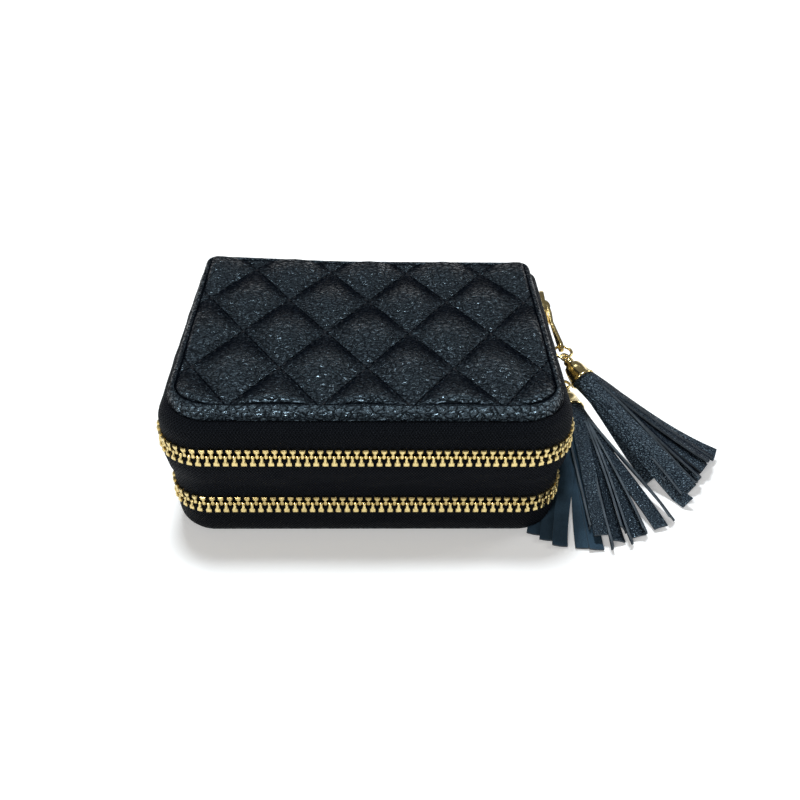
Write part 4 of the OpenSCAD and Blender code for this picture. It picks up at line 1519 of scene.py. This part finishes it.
@dataclass
class Fringe:
    """A fringe of leather strips that spreads out of a brass cap."""

    level: Level
    place: TasselPlace
    strips: list[Strip]
    spread: float
    lift: float
    root_at: float = 9.2
    root_width: float = 0.62
    root_r: float = 3.0
    strip_w: float = 4.5
    strip_t: float = 0.62
    cup: float = 0.25
    core_l: float = 5.2
    knee_share: float = 0.36
    knee_lift: float = 0.4
    fall_share: float = 0.34
    fall_way: tuple[float, float] = (0.55, 0.9)
    twist: float = 16.0
    sway: float = 0.8
    waves: float = 4.5
    grain_settles: float = 0.35
    width_settles: float = 0.3
    table_gap: float = 0.05
    rings: int = 28

    def build(self) -> None:
        """Builds the fringe, strip by strip."""
        bm = bmesh.new()
        dice = random.Random(self.level)
        for strip in self.strips:
            self.strip(bm, strip, dice)
        self.core(bm)
        self.face_numbers(bm)
        bmesh.ops.recalc_face_normals(bm, faces=bm.faces)
        node = f"{self.level}_tassel_fringe"
        piece = finish_mesh(bm, f"{self.level}_tassel_strips", [STRIP_GRAIN, STRIP_FLESH, STRIP_EDGE], sharp=50)
        seat(piece, f"{self.level}_tassel", "tassel_leather", node)

    def profile(self) -> list[tuple[float, float]]:
        """Section of a strip, cupped a little: grain side up, then the flesh side back.

        Returns:
            Points across the strip and up from it.
        """
        across = (-1.0, -0.5, 0.0, 0.5, 1.0)
        half_w, half_t = self.strip_w / 2, self.strip_t / 2
        upper = [(s * half_w, half_t + self.cup * (1 - s * s)) for s in across]
        lower = [(s * half_w, -half_t + self.cup * (1 - s * s)) for s in across[::-1]]
        return upper + lower

    def strip(self, bm: BMesh, strip: Strip, dice: random.Random) -> None:
        """Adds one strip.

        Args:
            bm: The mesh to add to.
            strip: Where it ends and how it is turned.
            dice: The fringe's own random numbers.
        """
        end, way = self.place.ring_end(), self.place.cap_way()
        turn = math.radians(strip.turn)
        left = UP.cross(way).normalized()
        root_grain = left * math.cos(turn) + way.cross(left) * math.sin(turn)
        root = end + way * self.root_at + root_grain * self.root_r
        goal = Vector((end.x + strip.x, end.y + strip.y, strip.z))
        reach, toward = (goal - root).length, (goal - root).normalized()
        knee = root + way.lerp(toward, self.spread).normalized() * reach * self.knee_share
        knee.z += self.lift * self.knee_lift
        fall = Vector((toward.x * self.fall_way[0], toward.y * self.fall_way[1], 0)).normalized()
        high = goal - fall * reach * self.fall_share
        high.z = goal.z + self.lift
        curve = [root, knee, high, goal]
        twist = math.radians(dice.uniform(-self.twist, self.twist))
        sway, lag = dice.uniform(-self.sway, self.sway), dice.uniform(0, math.tau)
        places = []
        for t in (i / self.rings for i in range(self.rings + 1)):
            ahead = (bezier(curve, min(1, t + 0.02)) - bezier(curve, max(0, t - 0.02))).normalized()
            side = UP.cross(ahead).normalized()
            grain = side * math.cos(turn) + ahead.cross(side) * math.sin(turn)
            grain = root_grain.lerp(grain, smooth(0, self.grain_settles, t))
            grain = (grain - ahead * grain.dot(ahead)).normalized()
            grain = Matrix.Rotation(twist * math.sin(math.pi * t), 3, ahead) @ grain
            wide = grain.cross(ahead)
            point = bezier(curve, t) + grain * sway * math.sin(lag + self.waves * t) * t * 0.5
            sink = abs(wide.z) * self.strip_w / 2 + abs(grain.z) * self.strip_t
            point.z = max(point.z, sink + self.table_gap)
            width = self.root_width + (1 - self.root_width) * smooth(0, self.width_settles, t)
            places.append(frame_at(point, wide, grain) @ Matrix.Diagonal((width, 1, 1, 1)))
        sweep(bm, self.profile(), places)

    def core(self, bm: BMesh) -> None:
        """Adds the rolled head of the fringe, inside the cap.

        Args:
            bm: The mesh to add to.
        """
        order = bm.verts.layers.int["order"]
        place = self.place.cap() @ Matrix.Translation((0, 0, self.root_at))
        made = bmesh.ops.create_cone(bm, cap_ends=True, segments=32, radius1=self.root_r, radius2=self.root_r,
                                     depth=self.core_l, matrix=place)
        for vert in made["verts"]:
            vert[order] = 0

    def face_numbers(self, bm: BMesh) -> None:
        """Gives each face its material number: 0 for grain, 1 for flesh and 2 for a cut edge.

        Points 0 to 4 of a strip's section are its grain side, and points 5 to 9 its flesh side.

        Args:
            bm: The fringe.
        """
        order = bm.verts.layers.int["order"]
        for face in bm.faces:
            found = {vert[order] for vert in face.verts}
            if len(found) > 2 or found in ({4, 5}, {9, 0}):
                face.material_index = 2
            else:
                face.material_index = 0 if max(found) <= 4 else 1


# ---- stage ----


@dataclass(frozen=True)
class SoftLamp:
    """A soft square lamp: its place and what it points at in metres, its side, its watts and its colour."""

    name: str
    place: tuple[float, float, float]
    target: tuple[float, float, float]
    size: float
    power: float
    colour: tuple[float, float, float]

    def build(self) -> None:
        """Hangs the lamp in the scene."""
        data = bpy.data.lights.new(self.name, "AREA")
        data.size, data.energy, data.color = self.size, self.power, self.colour
        lamp = bpy.data.objects.new(self.name, data)
        bpy.context.scene.collection.objects.link(lamp)
        lamp.location = self.place
        lamp.rotation_euler = (Vector(self.target) - Vector(self.place)).to_track_quat("-Z", "Y").to_euler()


LAMPS = (
    SoftLamp("overhead_softbox", (-0.15, 0.4, 1.45), (0, 0, 0.03), 0.34, 19.0, (0.9, 0.96, 1.0)),
    SoftLamp("front_window", (-0.5, -0.95, 0.9), (0, 0, 0.02), 0.25, 4.2, (1.0, 0.97, 0.92)),
    SoftLamp("side_window", (0.75, 0.25, 0.45), (0.05, 0, 0.02), 0.3, 1.2, (0.95, 0.97, 1.0)),
)


@dataclass
class Stage:
    """Floor, light and camera, whose angles are in degrees and whose place and floor are in millimetres."""

    camera_place: tuple[float, float, float] = (3.1, -242.0, 192.9)
    yaw: float = 1.734
    pitch: float = 35.93
    roll: float = 1.17
    focal_px: float = 915.0
    picture_px: float = 800.0
    sensor: float = 36.0
    floor_half: float = 4000.0
    floor_grey: float = 0.93
    glow: tuple[float, float] = (0.3, 0.8)
    glow_from: tuple[float, float] = (0.25, 1.2)
    horizon: tuple[float, float] = (0.03, 0.16)
    sky: tuple[float, float] = (1.0, 0.13)

    def build(self) -> None:
        """Builds the floor, the light and the camera."""
        bpy.context.scene.view_settings.view_transform = "Standard"
        self.floor()
        self.world()
        for lamp in LAMPS:
            lamp.build()
        self.camera()

    def floor(self) -> None:
        """A plain pale floor under the case, a little lighter to the camera than its light makes it."""
        bm = bmesh.new()
        bmesh.ops.create_grid(bm, x_segments=1, y_segments=1, size=self.floor_half)
        floor = finish_mesh(bm, "floor", [])
        made = bpy.data.materials.new("pale_floor")
        made.use_nodes = True
        g = Graph(made.node_tree)
        path = g.add("ShaderNodeLightPath").outputs
        mirrored = g.math("MAXIMUM", path["Is Glossy Ray"], path["Is Transmission Ray"])
        seen = g.math("MAXIMUM", path["Is Camera Ray"], mirrored)
        place = g.add("ShaderNodeTexCoord").outputs["Object"]
        away = g.add("ShaderNodeVectorMath", {0: place}, operation="LENGTH").outputs["Value"]
        g.feed(made.node_tree.nodes["Principled BSDF"], {
            "Base Color": (self.floor_grey, self.floor_grey, self.floor_grey, 1),
            "Roughness": 0.9,
            "Specular IOR Level": 0.1,
            "Emission Color": (1, 1, 1, 1),
            "Emission Strength": g.math("MULTIPLY", seen, g.remap(away, *self.glow_from, *self.glow)),
        })
        floor.data.materials.append(made)

    def world(self) -> None:
        """A world that is white near the horizon and dim overhead."""
        world = bpy.data.worlds.new("studio")
        bpy.context.scene.world = world
        world.use_nodes = True
        g = Graph(world.node_tree)
        way = g.add("ShaderNodeSeparateXYZ", {0: g.add("ShaderNodeTexCoord").outputs["Generated"]}).outputs
        strength = g.remap(way["Z"], *self.horizon, *self.sky)
        g.feed(world.node_tree.nodes["Background"], {"Color": (1, 1, 1, 1), "Strength": strength})

    def camera(self) -> None:
        """The camera, looking down at the case's front."""
        turn = Euler((math.radians(90 - self.pitch), 0, math.radians(-self.yaw))).to_matrix().to_4x4()
        roll = Matrix.Rotation(math.radians(self.roll), 4, "Z")
        data = bpy.data.cameras.new("front_camera")
        data.sensor_width = self.sensor
        data.lens = self.focal_px / self.picture_px * self.sensor
        data.clip_start = 0.01
        camera = bpy.data.objects.new("front_camera", data)
        bpy.context.scene.collection.objects.link(camera)
        camera.matrix_world = Matrix.Translation(Vector(self.camera_place) * MM) @ turn @ roll
        bpy.context.scene.camera = camera


# Where each outer tape is sewn to the lid and the base: out from the covers' edge, and height.
LID_SEAM = (-1.0, 41.7)
BASE_SEAM = (-1.4, 1.3)
# The pullers' pivots: out from each chain, and along the case's right side.
PIVOT_OUT, PIVOT_Y = 3.3, 36.7
UPPER_STRIPS = [
    Strip(45.5, -24.7, 5.5, 70), Strip(43.4, -27.2, 4.2, 95), Strip(40.4, -31.9, 4.5, 48), Strip(39.4, -32.8, 3.2, 50),
    Strip(35.6, -37.2, 5.0, 128), Strip(34.0, -37.8, 3.0, 225), Strip(34.6, -41.3, 1.2, 150),
    Strip(42.9, -26.5, 1.5, 60), Strip(33.0, -32.9, 1.6, 110), Strip(29.1, -33.2, 3.5, 200),
    Strip(26.1, -30.5, 2.4, 140), Strip(47.5, -21.5, 4.5, 62), Strip(49.8, -18.6, 3.0, 115),
    Strip(37.5, -35.0, 2.2, 140), Strip(44.5, -24.5, 3.0, 120), Strip(41.0, -30.0, 1.0, 100),
]
LOWER_STRIPS = [
    Strip(-16.1, -53.7, 0.7, 268), Strip(-12.6, -56.3, 0.8, 272), Strip(-9.1, -58.7, 0.7, 266),
    Strip(-2.4, -59.6, 0.7, 272), Strip(1.5, -60.4, 0.7, 262), Strip(3.2, -57.3, 3.8, 96), Strip(5.5, -60.3, 2.2, 12),
    Strip(8.5, -57.6, 1.2, 70), Strip(12.1, -58.2, 2.2, 22), Strip(15.0, -55.5, 1.2, 100),
    Strip(16.7, -54.6, 2.8, 28), Strip(22.6, -51.5, 1.0, 95), Strip(26.5, -48.7, 2.0, 40),
    Strip(10.3, -54.8, 3.4, 30), Strip(0.6, -53.4, 2.0, 190),
]


def main() -> None:
    """Builds the stage and every sub-assembly of the case, in order."""
    logging.basicConfig(level=logging.INFO, format="%(name)s: %(message)s")
    case = CaseSizes.from_frame()
    Stage().build()
    QuiltedLid(case).build()
    bodies = {Row.UPPER: "lid", Row.LOWER: "middle"}
    Zip(case, Level.UPPER, case.upper_chain_z, case.upper_out, bodies, Row.UPPER, LID_SEAM).build()
    bodies = {Row.UPPER: "middle", Row.LOWER: "base"}
    Zip(case, Level.LOWER, case.lower_chain_z, case.lower_out, bodies, Row.LOWER, BASE_SEAM).build()
    MiddleBand(case).build()
    Spine(case).build()
    Trays().build()
    upper_out, lower_out = (case.half_w + out + PIVOT_OUT for out in (case.upper_out, case.lower_out))
    upper = TasselPlace((upper_out, PIVOT_Y, case.upper_chain_z), pull_out=5.2, pull_drop=5, cap_turn=(-60, -18))
    lower = TasselPlace((lower_out, PIVOT_Y, case.lower_chain_z), pull_out=12.4, pull_drop=-7, cap_turn=(-84, -10))
    Hardware(Level.UPPER, upper).build()
    Hardware(Level.LOWER, lower).build()
    Fringe(Level.UPPER, upper, UPPER_STRIPS, spread=0.75, lift=5).build()
    Fringe(Level.LOWER, lower, LOWER_STRIPS, spread=0.45, lift=3).build()


if __name__ == "__main__":
    main()
